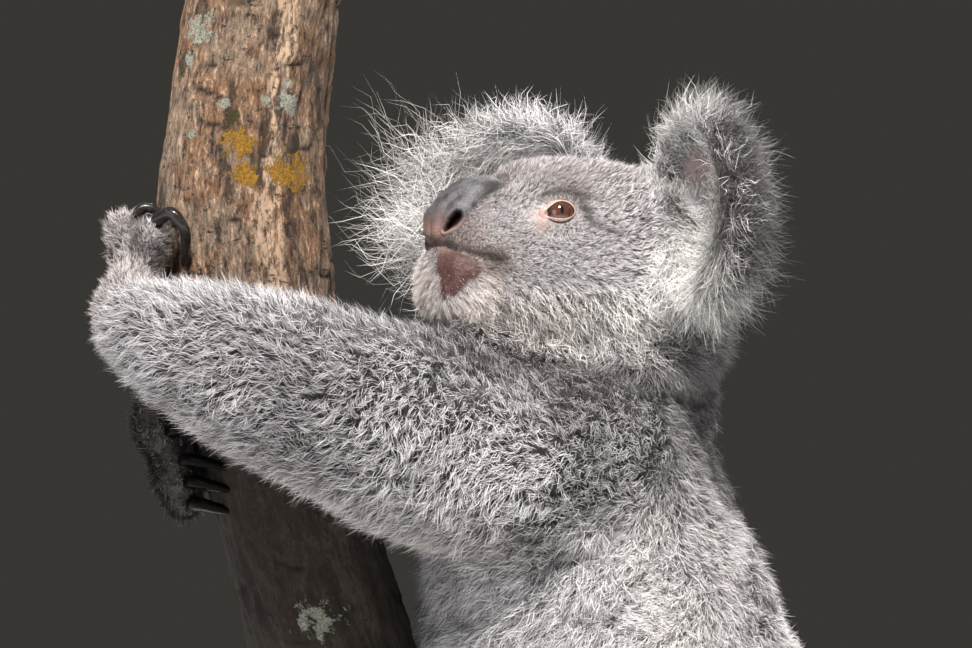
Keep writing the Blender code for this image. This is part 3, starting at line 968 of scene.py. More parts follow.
GROWTH = {
    "head": Growth(0.0024, 0.0047, 34, 0.00025, 1.7, 0.0022, -0.08),
    "neck": Growth(0.0105, 0.0140, 26, 0.00031, 0.75, 0.0033, -0.02),
    "chest": Growth(0.0115, 0.0145, 26, 0.00031, 0.80, 0.0034, 0.10),
    "belly": Growth(0.0120, 0.0150, 26, 0.00033, 0.65, 0.0038, 0.12),
    "ear": Growth(0.0, 0.0190, 50, 0.00027, 2.3, 0.0034, 0.25),
    "upper_arm": Growth(0.0100, 0.0125, 26, 0.00030, 1.0, 0.0032, 0.06),
    "forearm": Growth(0.0095, 0.0120, 26, 0.00030, 1.0, 0.0032, 0.0),
    "hand": Growth(0.0018, 0.0070, 34, 0.00032, 1.2, 0.0030, 0.15),
    "thigh": Growth(0.0110, 0.0140, 26, 0.00036, 0.65, 0.0038, 0.12),
    "shank": Growth(0.0095, 0.0120, 26, 0.00036, 0.65, 0.0037, 0.10),
    "foot": Growth(0.0030, 0.0075, 30, 0.00034, 0.95, 0.0036, 0.1),
    "nose": Growth(0.0003, 0.0012, 20, 0.00030, 0.0, 0.0030, 0.0),
}


def family(node: str) -> str:
    """A flesh node's name without its side."""
    return node.removesuffix("_left").removesuffix("_right")


@dataclass(frozen=True)
class Pinna:
    """The leaf of an ear: a thin cup of skin in the head's own directions."""

    name: str
    base: Place
    outward: tuple[float, float]
    reach: float
    tall: float
    deep: float
    wall: float = 0.0060

    def axes(self) -> Array:
        """The leaf's own directions.

        Returns:
            Rows of outward, up and facing, in the part's frame.
        """
        out = unit(np.array([self.outward[0], self.outward[1], 0.0]))
        side = math.copysign(1.0, self.outward[1])
        facing = np.array([out[1] * side, -out[0] * side, 0.0])
        return np.array([HEAD.turn(out), (0.0, 0.0, 1.0), HEAD.turn(facing)])

    def centre(self) -> Array:
        """The middle of the leaf in the part's frame."""
        return HEAD.world(self.base) + self.axes()[0] * self.reach * 0.42

    def node(self) -> str:
        """The CAD node that the leaf stands for."""
        return self.name.replace("leaf", "ear")

    def half_size(self) -> Place:
        """Half the leaf's reach and height, and its depth."""
        return self.reach * 0.6, self.tall / 2, self.deep

    def local(self, points: Array) -> Array:
        """Outward, up and facing shares of the leaf's own size, from its middle."""
        return (points - self.centre()) @ self.axes().T / np.array(self.half_size())

    def build(self) -> bpy.types.Object:
        """Shapes the leaf: a ball halved to a bowl, given a wall and turned to its place.

        Returns:
            The leaf.
        """
        deselect()
        bpy.ops.mesh.primitive_uv_sphere_add(segments=48, ring_count=24, radius=1.0)
        leaf = bpy.context.active_object
        leaf.name = self.name
        with editing(leaf):
            bpy.ops.mesh.bisect(plane_co=(0, 0, 0.1), plane_no=(0, 0, 1), clear_outer=True, use_fill=False)
            bpy.ops.mesh.select_all(action="SELECT")
            bpy.ops.transform.resize(value=self.half_size(), center_override=(0, 0, 0))
        wall = leaf.modifiers.new("wall", "SOLIDIFY")
        wall.thickness = self.wall
        wall.offset = 0
        apply_all(leaf)
        here = places_of(leaf)
        rim = here[:, 2] / self.deep
        outer = step(0.2, 1.0, here[:, 0] / self.half_size()[0])
        here[:, 0] -= 0.10 * self.reach * np.maximum(rim, -0.4) * outer
        put_places(leaf, here @ self.axes() + self.centre())
        return leaf


EARS = (
    Pinna("leaf_left", (-0.017, 0.050, 0.016), (0.07, 0.997), 0.064, 0.086, 0.018),
    Pinna("leaf_right", (-0.014, -0.050, 0.014), (0.55, -0.835), 0.070, 0.086, 0.018),
)


@dataclass
class Skin:
    """The one skin of the whole animal, inside the nodes of flesh by the coat's depth."""

    name: str = "skin"
    first_cell: float = 0.0028
    cell: float = 0.0031
    swell: float = 0.0005
    mould_cell: float = 0.0010
    mould_swell: float = 0.0003
    thin_share: float = 0.20
    roll_height: float = 0.0042
    eye_middle: Place = (0.038, 0.040, 0.014)
    fine_zones: tuple = (
        (0.050, 0.040, -0.040, 0.042, (0.020, 0.020, 0.018)),
        (0.060, 0.034, -0.033, 0.034, (0.016, 0.016, 0.014)),
    )
    knuckles: Path = (
        (-0.236, 0.640, 0.0080, 0.0045), (-0.2195, 0.636, 0.0070, 0.0040), (-0.228, 0.648, 0.0030, -0.0030),
        (-0.2265, 0.538, 0.0100, 0.0035), (-0.2105, 0.511, 0.0100, 0.0035),
    )  # x, z, reach and height
    thing: bpy.types.Object = field(init=False)
    at: Array = field(init=False)
    normal: Array = field(init=False)
    edges: Array = field(init=False)
    share: Array = field(init=False)
    valley: Array = field(init=False)
    nostril: Array = field(init=False)

    def build(self) -> bpy.types.Object:
        """Joins the flesh, draws it in by the coat's depth, adds the ears and shapes the face.

        Returns:
            The skin.
        """
        pieces = [copy_of(n, n + "_flesh") for n in FLESH if not n.startswith("ear")]
        pieces += [copy_of(n, n + "_flesh") for n in ("eye_left", "eye_right")]
        self.thing = joined(pieces)
        self.thing.name = self.thing.data.name = self.name
        swell_by(self.thing, self.swell)
        remesh(self.thing, self.first_cell, 2)
        self._read_mesh()
        self._measure_share()
        self._relax(14)
        depth = self._face_depth(self.mixed("depth"))
        depth = self.blurred(np.minimum(depth, self.thin_share * self._thickness()), 2)
        put_places(self.thing, self.at - self.normal * depth[:, None])
        self.thing = joined([self.thing] + [ear.build() for ear in EARS])
        remesh(self.thing, self.cell, 4)
        self._refine_face()
        self._read_mesh()
        self._fit_face()
        self._read_mesh()
        self._shape_face()
        self._read_mesh()
        self._measure_share()
        self._raise_rolls()
        return self.thing

    def _raise_rolls(self) -> None:
        """Raises the soft rolls of the trunk's woolly coat, with creases between them."""
        wide = Noise(SEED + 7).at(self.at * np.array([0.55, 0.55, 1.1]), 0.030, 2)
        crease = bell(wide, 0.16)
        trunk = self.of("neck", "chest", "belly") + 0.5 * self.of("thigh", "upper_arm")
        self.valley = self.blurred(crease, 1)
        lift = self.roll_height * trunk * (0.55 * np.abs(wide) + 0.3 - 0.75 * crease)
        for x, z, reach, height in self.knuckles:
            lift += height * self.of("hand") * bell(np.hypot(self.at[:, 0] - x, self.at[:, 2] - z), reach)
        put_places(self.thing, self.at + self.normal * lift[:, None])
        self._read_mesh()

    def _fit_face(self) -> None:
        """Lays the face on a fine mould of the head, under it by the depth of its short coat."""
        mould = [copy_of(n, n + "_mould") for n in ("head", "nose", "eye_left", "eye_right")]
        form = joined(mould)
        swell_by(form, self.mould_swell)
        remesh(form, self.mould_cell, 7)
        tree = tree_of(form.data)
        f, m, u = HEAD.local(self.at).T
        self._measure_share()
        depth = self._face_depth(self.mixed("depth"))
        hold = step(0.020, 0.048, f) * step(-0.046, -0.034, u) * (f < 0.098) * (np.abs(m) < 0.070)
        hold *= step(0.35, 0.75, self.of("head", "nose"))
        found = [tree.find_nearest(Vector(p)) if h > 0 else None for p, h in zip(self.at, hold)]
        goal = self.at.copy()
        for k, hit in enumerate(found):
            if hit is not None:
                goal[k] = np.array(hit[0]) - np.array(hit[1]) * depth[k]
        put_places(self.thing, self.at + (goal - self.at) * hold[:, None])
        take(self.thing)
        bpy.data.objects.remove(form)

    def _read_mesh(self) -> None:
        """Keeps the mesh's places, normals and edges as arrays."""
        self.at = places_of(self.thing)
        self.normal = normals_of(self.thing)
        ends = np.empty(len(self.thing.data.edges) * 2, np.int32)
        self.thing.data.edges.foreach_get("vertices", ends)
        self.edges = ends.reshape(-1, 2)

    def _measure_share(self) -> None:
        """Works out how much each vertex belongs to each flesh node, softly at their borders."""
        verts, faces, owner = [], [], []
        for k, node in enumerate(FLESH):
            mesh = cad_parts[node].data
            start = len(verts)
            verts.extend(v.co.copy() for v in mesh.vertices)
            for face in mesh.polygons:
                faces.append([start + i for i in face.vertices])
                owner.append(k)
        tree = BVHTree.FromPolygons(verts, faces)
        nearest = [owner[tree.find_nearest(Vector(p))[2]] for p in self.at]
        share = np.zeros((len(self.at), len(FLESH)))
        share[np.arange(len(self.at)), nearest] = 1.0
        for ear in EARS:
            near = ear.local(self.at)
            inside = (np.linalg.norm(near / np.array([1.25, 1.25, 1.8]), axis=1) < 1.0) & (near[:, 2] < 0.45)
            share[inside] = 0.0
            share[inside, FLESH.index(ear.node())] = 1.0
        self.share = self.blurred(share, 10)

    def blurred(self, values: Array, rounds: int) -> Array:
        """Smooths values over the skin.

        Args:
            values: One row per vertex.
            rounds: How often each vertex takes its neighbours' mean.

        Returns:
            The smoothed values.
        """
        a, b = self.edges.T
        count = np.bincount(a, minlength=len(self.at)) + np.bincount(b, minlength=len(self.at)) + 1.0
        table = values.reshape(len(values), -1).copy()
        for _ in range(rounds):
            for k in range(table.shape[1]):
                column = table[:, k]
                if not column.any():
                    continue
                total = np.bincount(a, column[b], len(self.at)) + np.bincount(b, column[a], len(self.at))
                table[:, k] = (total + column) / count
        return table.reshape(values.shape)

    def _relax(self, rounds: int) -> None:
        """Smooths the flesh, least of all the paws and the face.

        Args:
            rounds: How often each vertex moves towards its neighbours' mean.
        """
        rate = (0.85 - 0.80 * self.of("hand", "foot") - 0.45 * self.of("head"))[:, None]
        for _ in range(rounds):
            self.at = self.at + (self.blurred(self.at, 1) - self.at) * rate
        put_places(self.thing, self.at)
        self._read_mesh()

    def mixed(self, name: str) -> Array:
        """One number of Growth over the skin, mixed softly between the parts of the body."""
        return self.share @ np.array([getattr(GROWTH[family(node)], name) for node in FLESH])

    def node_share(self, node: str) -> Array:
        """How much each vertex belongs to one node."""
        return self.share[:, FLESH.index(node)]

    def of(self, *names: str) -> Array:
        """How much each vertex belongs to the named families of nodes together."""
        return self.share[:, [k for k, node in enumerate(FLESH) if family(node) in names]].sum(axis=1)

    def _face_depth(self, depth: Array) -> Array:
        """The depth of the coat, deeper in the ruff of the jaw than on the face.

        Args:
            depth: The depth by parts of the body.

        Returns:
            The depth with the head's own changes.
        """
        f, m, u = HEAD.local(self.at).T
        head = self.of("head")
        ruff = step(-0.018, -0.045, u) * step(0.088, 0.060, f)
        cheek = step(0.030, 0.0, f) * step(0.035, 0.055, np.abs(m))
        extra = head * (0.0048 * ruff + 0.0035 * cheek * (1 - ruff) + 0.0015 * step(0.02, -0.03, f))
        extra += 0.0090 * self.of("neck", "chest", "upper_arm") * self.under_jaw()
        return self.blurred(depth + extra, 12)

    def under_jaw(self) -> Array:
        """How near each vertex is to the place on the shoulder that the jaw's ruff hangs over."""
        x, _, z = self.at.T
        return np.exp(-(((x + 0.030) / 0.030) ** 2)) * step(0.545, 0.572, z)

    def _thickness(self) -> Array:
        """Measures the flesh straight through from each vertex.

        Returns:
            How thick it is under each vertex.
        """
        tree, furthest, sunk = tree_of(self.thing.data), 0.2, 0.0004
        thick = np.full(len(self.at), furthest)
        for k, (place, out) in enumerate(zip(self.at, self.normal)):
            hit = tree.ray_cast(Vector(place - out * sunk), Vector(-out), furthest)
            if hit[3] is not None:
                thick[k] = hit[3]
        return self.blurred(thick, 2)

    def _refine_face(self) -> None:
        """Gives the muzzle and the eyes' surrounds finer cells, in two rounds."""
        mesh = self.thing.data
        for zone in self.fine_zones:
            chosen = self._in_zone(*zone)
            with editing(self.thing):
                work = bmesh.from_edit_mesh(mesh)
                for vert in work.verts:
                    vert.select_set(chosen[vert.index])
                work.select_flush_mode()
                bmesh.update_edit_mesh(mesh)
                bpy.ops.mesh.select_mode(type="VERT")
                bpy.ops.mesh.subdivide(number_cuts=1, quadcorner="INNERVERT")
                bpy.ops.mesh.vertices_smooth(factor=0.4, repeat=2)

    def _in_zone(self, back: float, half: float, low: float, high: float, eye: Place) -> list[bool]:
        """Which vertices lie on the muzzle or close to an eye.

        Args:
            back: Where the muzzle's box starts.
            half: Half its width.
            low: Its lower side.
            high: Its upper side.
            eye: Half the size of the box round each eye.

        Returns:
            One answer per vertex.
        """
        f, m, u = HEAD.local(places_of(self.thing)).T
        muzzle = (f > back) & (f < 0.098) & (np.abs(m) < half) & (u < high) & (u > low)
        gaps = np.abs(np.stack([f, np.abs(m), u], axis=1) - np.array(self.eye_middle))
        return (muzzle | (gaps < np.array(eye)).all(axis=1)).tolist()

    def _shape_face(self) -> None:
        """Presses in the mouth's line, the lids' creases and the eye sockets, and fills out the lip."""
        local = HEAD.local(self.at)
        mirrored = local.copy()
        mirrored[:, 1] = np.abs(mirrored[:, 1])
        mouth, lip, crease, gap = (
            gap_to(mirrored, path) for path in (FACE.mouth, FACE.lip, FACE.crease, FACE.nostril)
        )
        self.nostril = gap
        eye = np.linalg.norm((mirrored - np.array(FACE.eye)) / np.array([0.011, 0.011, 0.008]), axis=1)
        f, m, u = local.T
        move = -0.0034 * bell(mouth, 0.0019) + 0.0010 * bell(lip, 0.0050) - 0.0014 * bell(crease, 0.0022)
        move += 0.0012 * bell(eye - 1.12, 0.28) - 0.0026 * step(0.85, 0.5, eye)
        move += 0.0009 * bell(gap - 1.35, 0.35) - 0.0062 * step(1.08, 0.35, gap)
        move -= 0.0016 * spot(mirrored, FACE.dip, 0.0085) * self.of("nose", "head")
        groove = bell(m, 0.0010) * step(0.012, 0.004, u) * step(0.078, 0.084, f)
        move -= 0.0009 * groove * step(-0.0015, 0.0010, u)
        put_places(self.thing, self.at + self.normal * move[:, None])

    def dress(self, marks: dict[str, Array]) -> None:
        """Writes the markings on the skin and gives it its finish.

        Args:
            marks: Values per vertex by name.
        """
        for name in ("tone", "pale", "warm", "dark", "bare", "flush", "cleft", "leather"):
            write_mark(self.thing, name, marks[name])
        f, _, u = HEAD.local(self.at).T
        # The sheen mark places the painted highlight on the nose's upper front.
        write_mark(self.thing, "sheen", step(0.060, 0.076, f) * step(0.006, 0.018, u))
        write_mark(self.thing, "short", self.blurred(self.of("head", "nose", "hand", "foot"), 20))
        give(self.thing, SkinFinish())
        take(self.thing)
        bpy.ops.object.shade_smooth()
        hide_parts(*FLESH)
        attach(self.thing, "root")
        report(self.thing)


@dataclass(frozen=True)
class Face:
    """Places on the face, left side, in the head's own directions: forward, left, up."""

    mouth: Path = (
        (0.0905, 0.000, -0.0015), (0.0895, 0.008, -0.0035), (0.0860, 0.019, -0.0052),
        (0.0800, 0.0255, -0.0078), (0.0740, 0.0290, -0.0098), (0.0690, 0.0315, -0.0115),
    )
    lip: Path = ((0.091, 0.0, -0.012), (0.088, 0.014, -0.013), (0.080, 0.024, -0.016))
    crease: Path = (
        (0.0500, 0.0340, 0.0200), (0.0440, 0.0360, 0.0235), (0.0370, 0.0390, 0.0245),
        (0.0300, 0.0440, 0.0215), (0.0280, 0.0490, 0.0130), (0.0260, 0.0530, 0.0070),
        (0.0160, 0.0570, 0.0035),
    )
    nostril: Path = (
        (0.0838, 0.0168, 0.0125, 0.0032), (0.0862, 0.0152, 0.0090, 0.0032), (0.0892, 0.0115, 0.0050, 0.0017),
    )
    tip: Place = (0.092, 0.0, 0.004)
    nose_pink: Place = (0.0900, 0.006, 0.0040)
    bridge: Place = (0.057, 0.0, 0.034)
    bridge_side: Place = (0.064, 0.016, 0.022)
    dip: Place = (0.0500, 0.0, 0.0320)
    corner: Place = (0.0715, 0.0310, -0.0105)
    eye: Place = (0.0395, 0.0435, 0.0145)
    eye_form: Place = (1.25, 1.0, 0.85)
    brow: Place = (0.034, 0.034, 0.030)
    tear: Place = (0.0505, 0.0385, 0.0115)
    stain: Place = (0.0485, 0.0405, 0.0080)
    # Edges across the face: forward (or up, for the lip's front edge) against up (or left).
    lip_top: Path = ((0.069, 0.080, 0.0905), (-0.0115, -0.0078, -0.0020))
    lip_foot: Path = ((0.074, 0.081, 0.085, 0.0905), (-0.014, -0.0225, -0.0275, -0.031))
    lip_front: Path = ((-0.030, -0.008), (0.0125, 0.0035))
    nose_fold: Path = ((0.080, 0.092), (0.0125, 0.0045))


FACE = Face()

# The limbs' centre lines, from the trunk to the paw.
ARM_LEFT = (
    (0.028, -0.016, 0.500), (-0.030, -0.068, 0.524), (-0.118, -0.088, 0.550), (-0.175, -0.083, 0.572),
    (-0.230, -0.046, 0.596),
)
ARM_RIGHT = (
    (0.006, 0.052, 0.512), (-0.060, 0.082, 0.530), (-0.138, 0.084, 0.533), (-0.188, 0.067, 0.531),
    (-0.205, 0.052, 0.529),
)
LEG_LEFT = ((0.088, -0.046, 0.236), (0.000, -0.103, 0.297), (-0.012, -0.101, 0.268), (-0.020, -0.083, 0.210))
LEG_RIGHT = ((0.088, 0.046, 0.236), (0.000, 0.103, 0.289), (-0.012, 0.101, 0.258), (-0.020, 0.083, 0.194))


def limb_direction(points: Array, path: Path) -> Array:
    """The direction of a limb's bent line next to each point, towards its end.

    Args:
        points: The points.
        path: The limb's line.

    Returns:
        A unit direction per point.
    """
    rows = np.array(path)
    _, passed = path_distance(points, path)
    legs = unit(np.diff(rows, axis=0))
    middle = (np.arange(len(legs)) + 0.5) / len(legs)
    return unit(np.stack([np.interp(passed, middle, legs[:, k]) for k in range(3)], axis=1))


class Flank(Enum):
    """Named places on the animal's left side: x, z and the reach along each."""

    SHOULDER = (-0.040, 0.522, 0.036, 0.028)
    SIDE = (-0.020, 0.460, 0.035, 0.035)
    SADDLE = (0.055, 0.537, 0.030, 0.036)
    CREASE = (-0.068, 0.452, 0.036, 0.050)
    NAPE = (0.064, 0.566, 0.020, 0.042)
    COLLAR = (0.050, 0.572, 0.030, 0.020)
    KNUCKLES = (-0.2275, 0.641, 0.0028, 0.013)
    EAR_ROOT = (0.041, 0.657, 0.0065, 0.020)
    EAR_FRONT = (0.030, 0.655, 0.008, 0.022)
    EAR_TUFT = (0.048, 0.624, 0.014, 0.023)
    EAR_PINK = (0.0545, 0.670, 0.0095, 0.010)
    EAR_SHADE = (0.069, 0.632, 0.010, 0.034)
    EAR_UNDER = (0.041, 0.5945, 0.010, 0.006)


class Fields(dict):
    """The coat's fields by name, each with one value or direction per skin vertex."""

    def add(self, share: Array, **amounts: float) -> None:
        """Adds to fields.

        Args:
            share: How much of each amount every vertex gets.
            amounts: What each named field gains.
        """
        for name, amount in amounts.items():
            self[name] = self[name] + amount * share

    def scale(self, share: Array, **amounts: float) -> None:
        """Makes fields larger or smaller in proportion.

        Args:
            share: How much of each amount every vertex gets.
            amounts: What part of itself each named field gains.
        """
        for name, amount in amounts.items():
            self[name] = self[name] * (1 + amount * share)

    def blend(self, share: Array, **values: Array | float) -> None:
        """Moves fields towards new values.

        Args:
            share: How far every vertex goes.
            values: What each named field has where the share is one.
        """
        for name, value in values.items():
            self[name] = self[name] * (1 - share) + value * share

    def at_least(self, **values: Array | float) -> None:
        """Raises fields to the values where they are lower."""
        for name, value in values.items():
            self[name] = np.maximum(self[name], value)


@dataclass
class HeadMap:
    """Where the skin's vertices lie on the head, both sides folded to the left, and on which parts."""

    skin: Skin
    head: Array = field(init=False)
    local: Array = field(init=False)
    right: Array = field(init=False)
    cheek: Array = field(init=False)
    ruff: Array = field(init=False)
    chin: Array = field(init=False)

    def __post_init__(self) -> None:
        """Measures the places and the parts."""
        self.head = self.skin.of("head", "nose")
        self.local = HEAD.local(self.skin.at)
        self.right = self.local[:, 1] < 0
        self.local[:, 1] = np.abs(self.local[:, 1])
        f, _, u = self.local.T
        self.cheek = self.head * step(0.040, 0.005, f) * step(0.004, -0.020, u)
        self.ruff = self.head * step(-0.016, -0.034, u) * step(0.088, 0.070, f)
        self.chin = self.head * step(0.062, 0.078, f) * step(-0.006, -0.016, u)

    def near(self, centre: Place, reach: float) -> Array:
        """How near each vertex of the head is to a place on it."""
        return self.head * spot(self.local, centre, reach)


@dataclass
class EarMap:
    """Where the skin's vertices lie on one ear, and on which parts."""

    skin: Skin
    ear: Pinna
    share: Array = field(init=False)
    out: Array = field(init=False)
    up: Array = field(init=False)
    inner: Array = field(init=False)
    back: Array = field(init=False)
    rim: Array = field(init=False)

    def __post_init__(self) -> None:
        """Measures the places and the parts."""
        self.share = self.skin.node_share(self.ear.node())
        self.out, self.up, _ = self.ear.local(self.skin.at).T
        facing = self.skin.normal @ self.ear.axes()[2]
        self.inner = self.share * step(-0.1, 0.35, facing)
        self.back = self.share * step(0.1, -0.3, facing)
        self.rim = self.share * step(0.72, 1.0, np.hypot(self.out, self.up))


@dataclass
class Markings:
    """Where the coat is long, pale, warm or dark, and which way it lies. Skin and coat share it."""

    skin: Skin
    fields: Fields = field(default_factory=Fields)
    tall_noise: Noise = field(default_factory=lambda: Noise(SEED))
    wide_noise: Noise = field(default_factory=lambda: Noise(SEED + 1))
    ruff_edge: Path = (
        (-0.0875, 0.6025), (-0.075, 0.595), (-0.055, 0.5875), (-0.035, 0.579), (-0.021, 0.5745), (0.0, 0.580),
        (0.025, 0.5875), (0.036, 0.595), (0.055, 0.590), (0.080, 0.585),
    )
    ear_groove: Path = ((0.064, 0.0, 0.684), (0.070, 0.0, 0.650), (0.081, 0.0, 0.612))
    # The fields that start from Growth, and those that start level.
    grown: tuple[str, ...] = ("length", "lift", "width", "density", "clump", "pale", "tone")
    level: tuple[tuple[str, float], ...] = (
        ("warm", 0.04), ("curl", 0.6), ("mess", 1), ("upright", 1), ("speckle", 1), ("mottle", 1),
        ("catch", 0), ("dark", 0), ("bare", 0), ("flush", 0), ("cleft", 0), ("leather", 0),
    )

    def read(self) -> Fields:
        """Works out every field of the coat.

        Returns:
            The fields, with one value or direction per skin vertex.
        """
        skin, fields = self.skin, self.fields
        fields.update((name, skin.mixed(name)) for name in self.grown)
        fields.update((name, np.full(len(skin.at), float(value))) for name, value in self.level)
        fields["lie"] = self._body_lie()
        self._mark_body()
        self._mark_limbs()
        on_head = HeadMap(skin)
        self._mark_head(on_head)
        self._lay_head(on_head)
        self._mark_muzzle(on_head)
        self._mark_eye(on_head)
        self._mark_near_ear(EarMap(skin, EARS[0]))
        self._mark_far_ear(EarMap(skin, EARS[1]))
        fields.at_least(pale=0.0)
        fields["lie"] = self._tangent(fields["lie"])
        for name in ("bare", "flush", "cleft", "dark", "warm", "leather"):
            fields[name] = np.clip(fields[name], 0, 1)
        fields.scale(fields["bare"], length=-0.45, pale=-0.8, density=-0.985)
        fields["density"] *= (1 - fields["leather"]) ** 2 * (1 - fields["cleft"])
        return fields

    def _tangent(self, lie: Array) -> Array:
        """Lays directions down on the skin."""
        return unit(lie - self.skin.normal * np.sum(lie * self.skin.normal, axis=1, keepdims=True))

    def _body_lie(self) -> Array:
        """Works out the lie of the coat on the trunk and the limbs, before it is laid on the skin.

        Returns:
            A direction per vertex.
        """
        skin = self.skin
        at = skin.at
        behind = step(0.15, 0.80, skin.normal[:, 0])[:, None]
        down = np.array([0.12, 0.0, -1.0]) * behind + np.array([-0.85, 0.0, -0.52]) * (1 - behind)
        lie = skin.of("neck", "chest", "belly")[:, None] * down
        for side, arm, leg in (("left", ARM_LEFT, LEG_LEFT), ("right", ARM_RIGHT, LEG_RIGHT)):
            part = {name: skin.node_share(f"{name}_{side}")[:, None] for name in LIMB_PARTS}
            along_arm = limb_direction(at, arm) * 0.95 + np.array([0, 0, -0.62])
            along_leg = limb_direction(at, leg) + np.array([0, 0, -0.4])
            lie += (part["upper_arm"] + part["forearm"]) * along_arm
            lie += (part["thigh"] + part["shank"]) * along_leg
            lie += part["hand"] * unit(at - np.array(arm[-1]) + 1e-6)
            lie += part["foot"] * unit(at - np.array(leg[-1]) + 1e-6)
        swirl = self.tall_noise.at(at, 0.030, 2) * 0.75 + self.wide_noise.at(at, 0.011) * 0.25
        body = skin.of("neck", "chest", "belly", "upper_arm", "forearm", "thigh", "shank")
        return lie + np.cross(skin.normal, lie) * (swirl * body)[:, None]

    def _flank(self, place: Flank) -> Array:
        """How near each vertex is to a place on the animal's left side.

        Args:
            place: The place.

        Returns:
            One at the place, falling to nothing away from it and on skin that faces the other side.
        """
        x, z, wide, tall = place.value
        at, facing = self.skin.at, self.skin.normal[:, 1]
        return bell(at[:, 0] - x, wide) * bell(at[:, 2] - z, tall) * step(0.15, -0.30, facing)

    def _mark_body(self) -> None:
        """Marks the trunk: mottled grey above, paler below and on the rump, with painted shadow under the
        head.
        """
        fields = self.fields
        skin, facing = self.skin, self.skin.normal[:, 0]
        x, _, z = skin.at.T
        trunk = skin.of("neck", "chest", "belly", "thigh")
        front = step(-0.45, -0.95, facing) * skin.of("chest", "belly")
        spine = step(0.2, 0.9, facing) * trunk
        rump = step(0.545, 0.475, z) * step(-0.035, 0.045, x) + 0.4 * spine * step(0.560, 0.500, z)
        rump = np.clip(rump, 0, 1) * skin.of("chest", "belly", "thigh")
        blotch = np.clip(0.5 + 0.9 * self.wide_noise.at(skin.at, 0.045, 2), 0, 1)
        wool = trunk + 0.8 * skin.of("upper_arm", "forearm", "shank")
        fold = trunk * skin.valley
        drop = np.interp(x, *np.array(self.ruff_edge).T) - z
        reach = np.interp(x, (-0.06, 0.0), (0.020, 0.050))
        shadow = step(-0.012, 0.0, drop) * np.clip(1.1 - drop / reach, 0, 1)
        shadow *= skin.of("neck", "chest", "upper_arm")
        saddle_shadow, crease = trunk * self._flank(Flank.SADDLE), trunk * self._flank(Flank.CREASE)
        nape = np.maximum(self._flank(Flank.NAPE), self._flank(Flank.COLLAR))
        nape *= skin.of("neck", "chest", "head")
        hidden = skin.under_jaw() * skin.of("neck", "chest", "upper_arm")

        fields.add(rump * blotch, pale=0.7)
        fields.add(rump, warm=0.10, tone=0.56, catch=0.9)
        fields.add(np.maximum(rump, spine), length=-0.0030)
        fields.add(spine, lift=-5)
        fields.add(skin.of("chest", "belly", "upper_arm"), tone=0.22)
        fields.add(skin.of("forearm"), tone=-0.04)
        fields.add(self._flank(Flank.SHOULDER), tone=0.62, catch=0.6)
        fields.add(self._flank(Flank.SIDE), tone=-0.26)
        fields.add(wool * self.tall_noise.at(skin.at, 0.016, 2), tone=0.20)
        fields.add(wool * self.wide_noise.at(skin.at, 0.006), tone=0.10)
        # Painted shade: the fur darkens in the creases between the rolls, less so on the rump.
        fields.add(fold * (1 - 0.8 * rump), dark=0.50)
        fields.scale(fold, length=-0.28)
        fields.scale(wool * self.wide_noise.at(skin.at, 0.010), length=0.14)
        # The front of chest and belly: its own paler fur, with painted light raising its tone where the arm
        # shades it.
        fields.add(front, pale=0.30, mottle=2.0, tone=0.25, length=0.0035, speckle=0.8, catch=0.6)
        fields.add(shadow, mottle=2.0, speckle=0.6, dark=0.62, tone=-0.20, pale=-0.20)
        # Painted shadow of the head on the neck behind the jaw; its hair also catches less light.
        fields.add(saddle_shadow, dark=0.45, tone=-0.38, mottle=1.0)
        fields.scale(saddle_shadow, catch=-0.8)
        fields.add(crease, mottle=1.6, speckle=1.0, tone=0.12)
        # Painted shadow of the ear and head on the back of the neck.
        fields.add(nape, dark=0.10, speckle=1.6, tone=-0.20, mottle=1.6)
        fields.scale(hidden, length=-0.35)
        fields.add(hidden, lift=-8)

    def _mark_limbs(self) -> None:
        """Marks the limbs: pale fringes under the arms, with painted shade, brown-grey hands and feet, and a
        painted shadow on the far hand.
        """
        fields = self.fields
        skin, up = self.skin, self.skin.normal[:, 2]
        arm, paws = skin.of("upper_arm", "forearm"), skin.of("hand", "foot")
        fringe = arm * step(-0.40, -0.90, up)
        knuckles = self._flank(Flank.KNUCKLES) * skin.of("hand")
        # The fringe's pale cream is its own colour; its added dark is painted shade on the arm's underside.
        fields.add(fringe, length=0.0015, mottle=1.3, catch=0.4, dark=0.18, pale=0.60, warm=0.26)
        fields.scale(fringe, mess=-0.45, upright=-0.35)
        fields.add(arm * step(0.35, 0.95, up), pale=0.32)
        fields.add(paws, warm=0.36)
        fields.scale(paws, mess=-0.5, upright=-0.55)
        fields.scale(knuckles, length=-0.4)
        fields.add(knuckles, dark=0.9)
        # Painted shadow: the far hand's hair is darkened for the arm's shade.
        fields.add(skin.node_share("hand_right"), dark=0.95)
        fields.add(skin.node_share("hand_left"), dark=0.12)

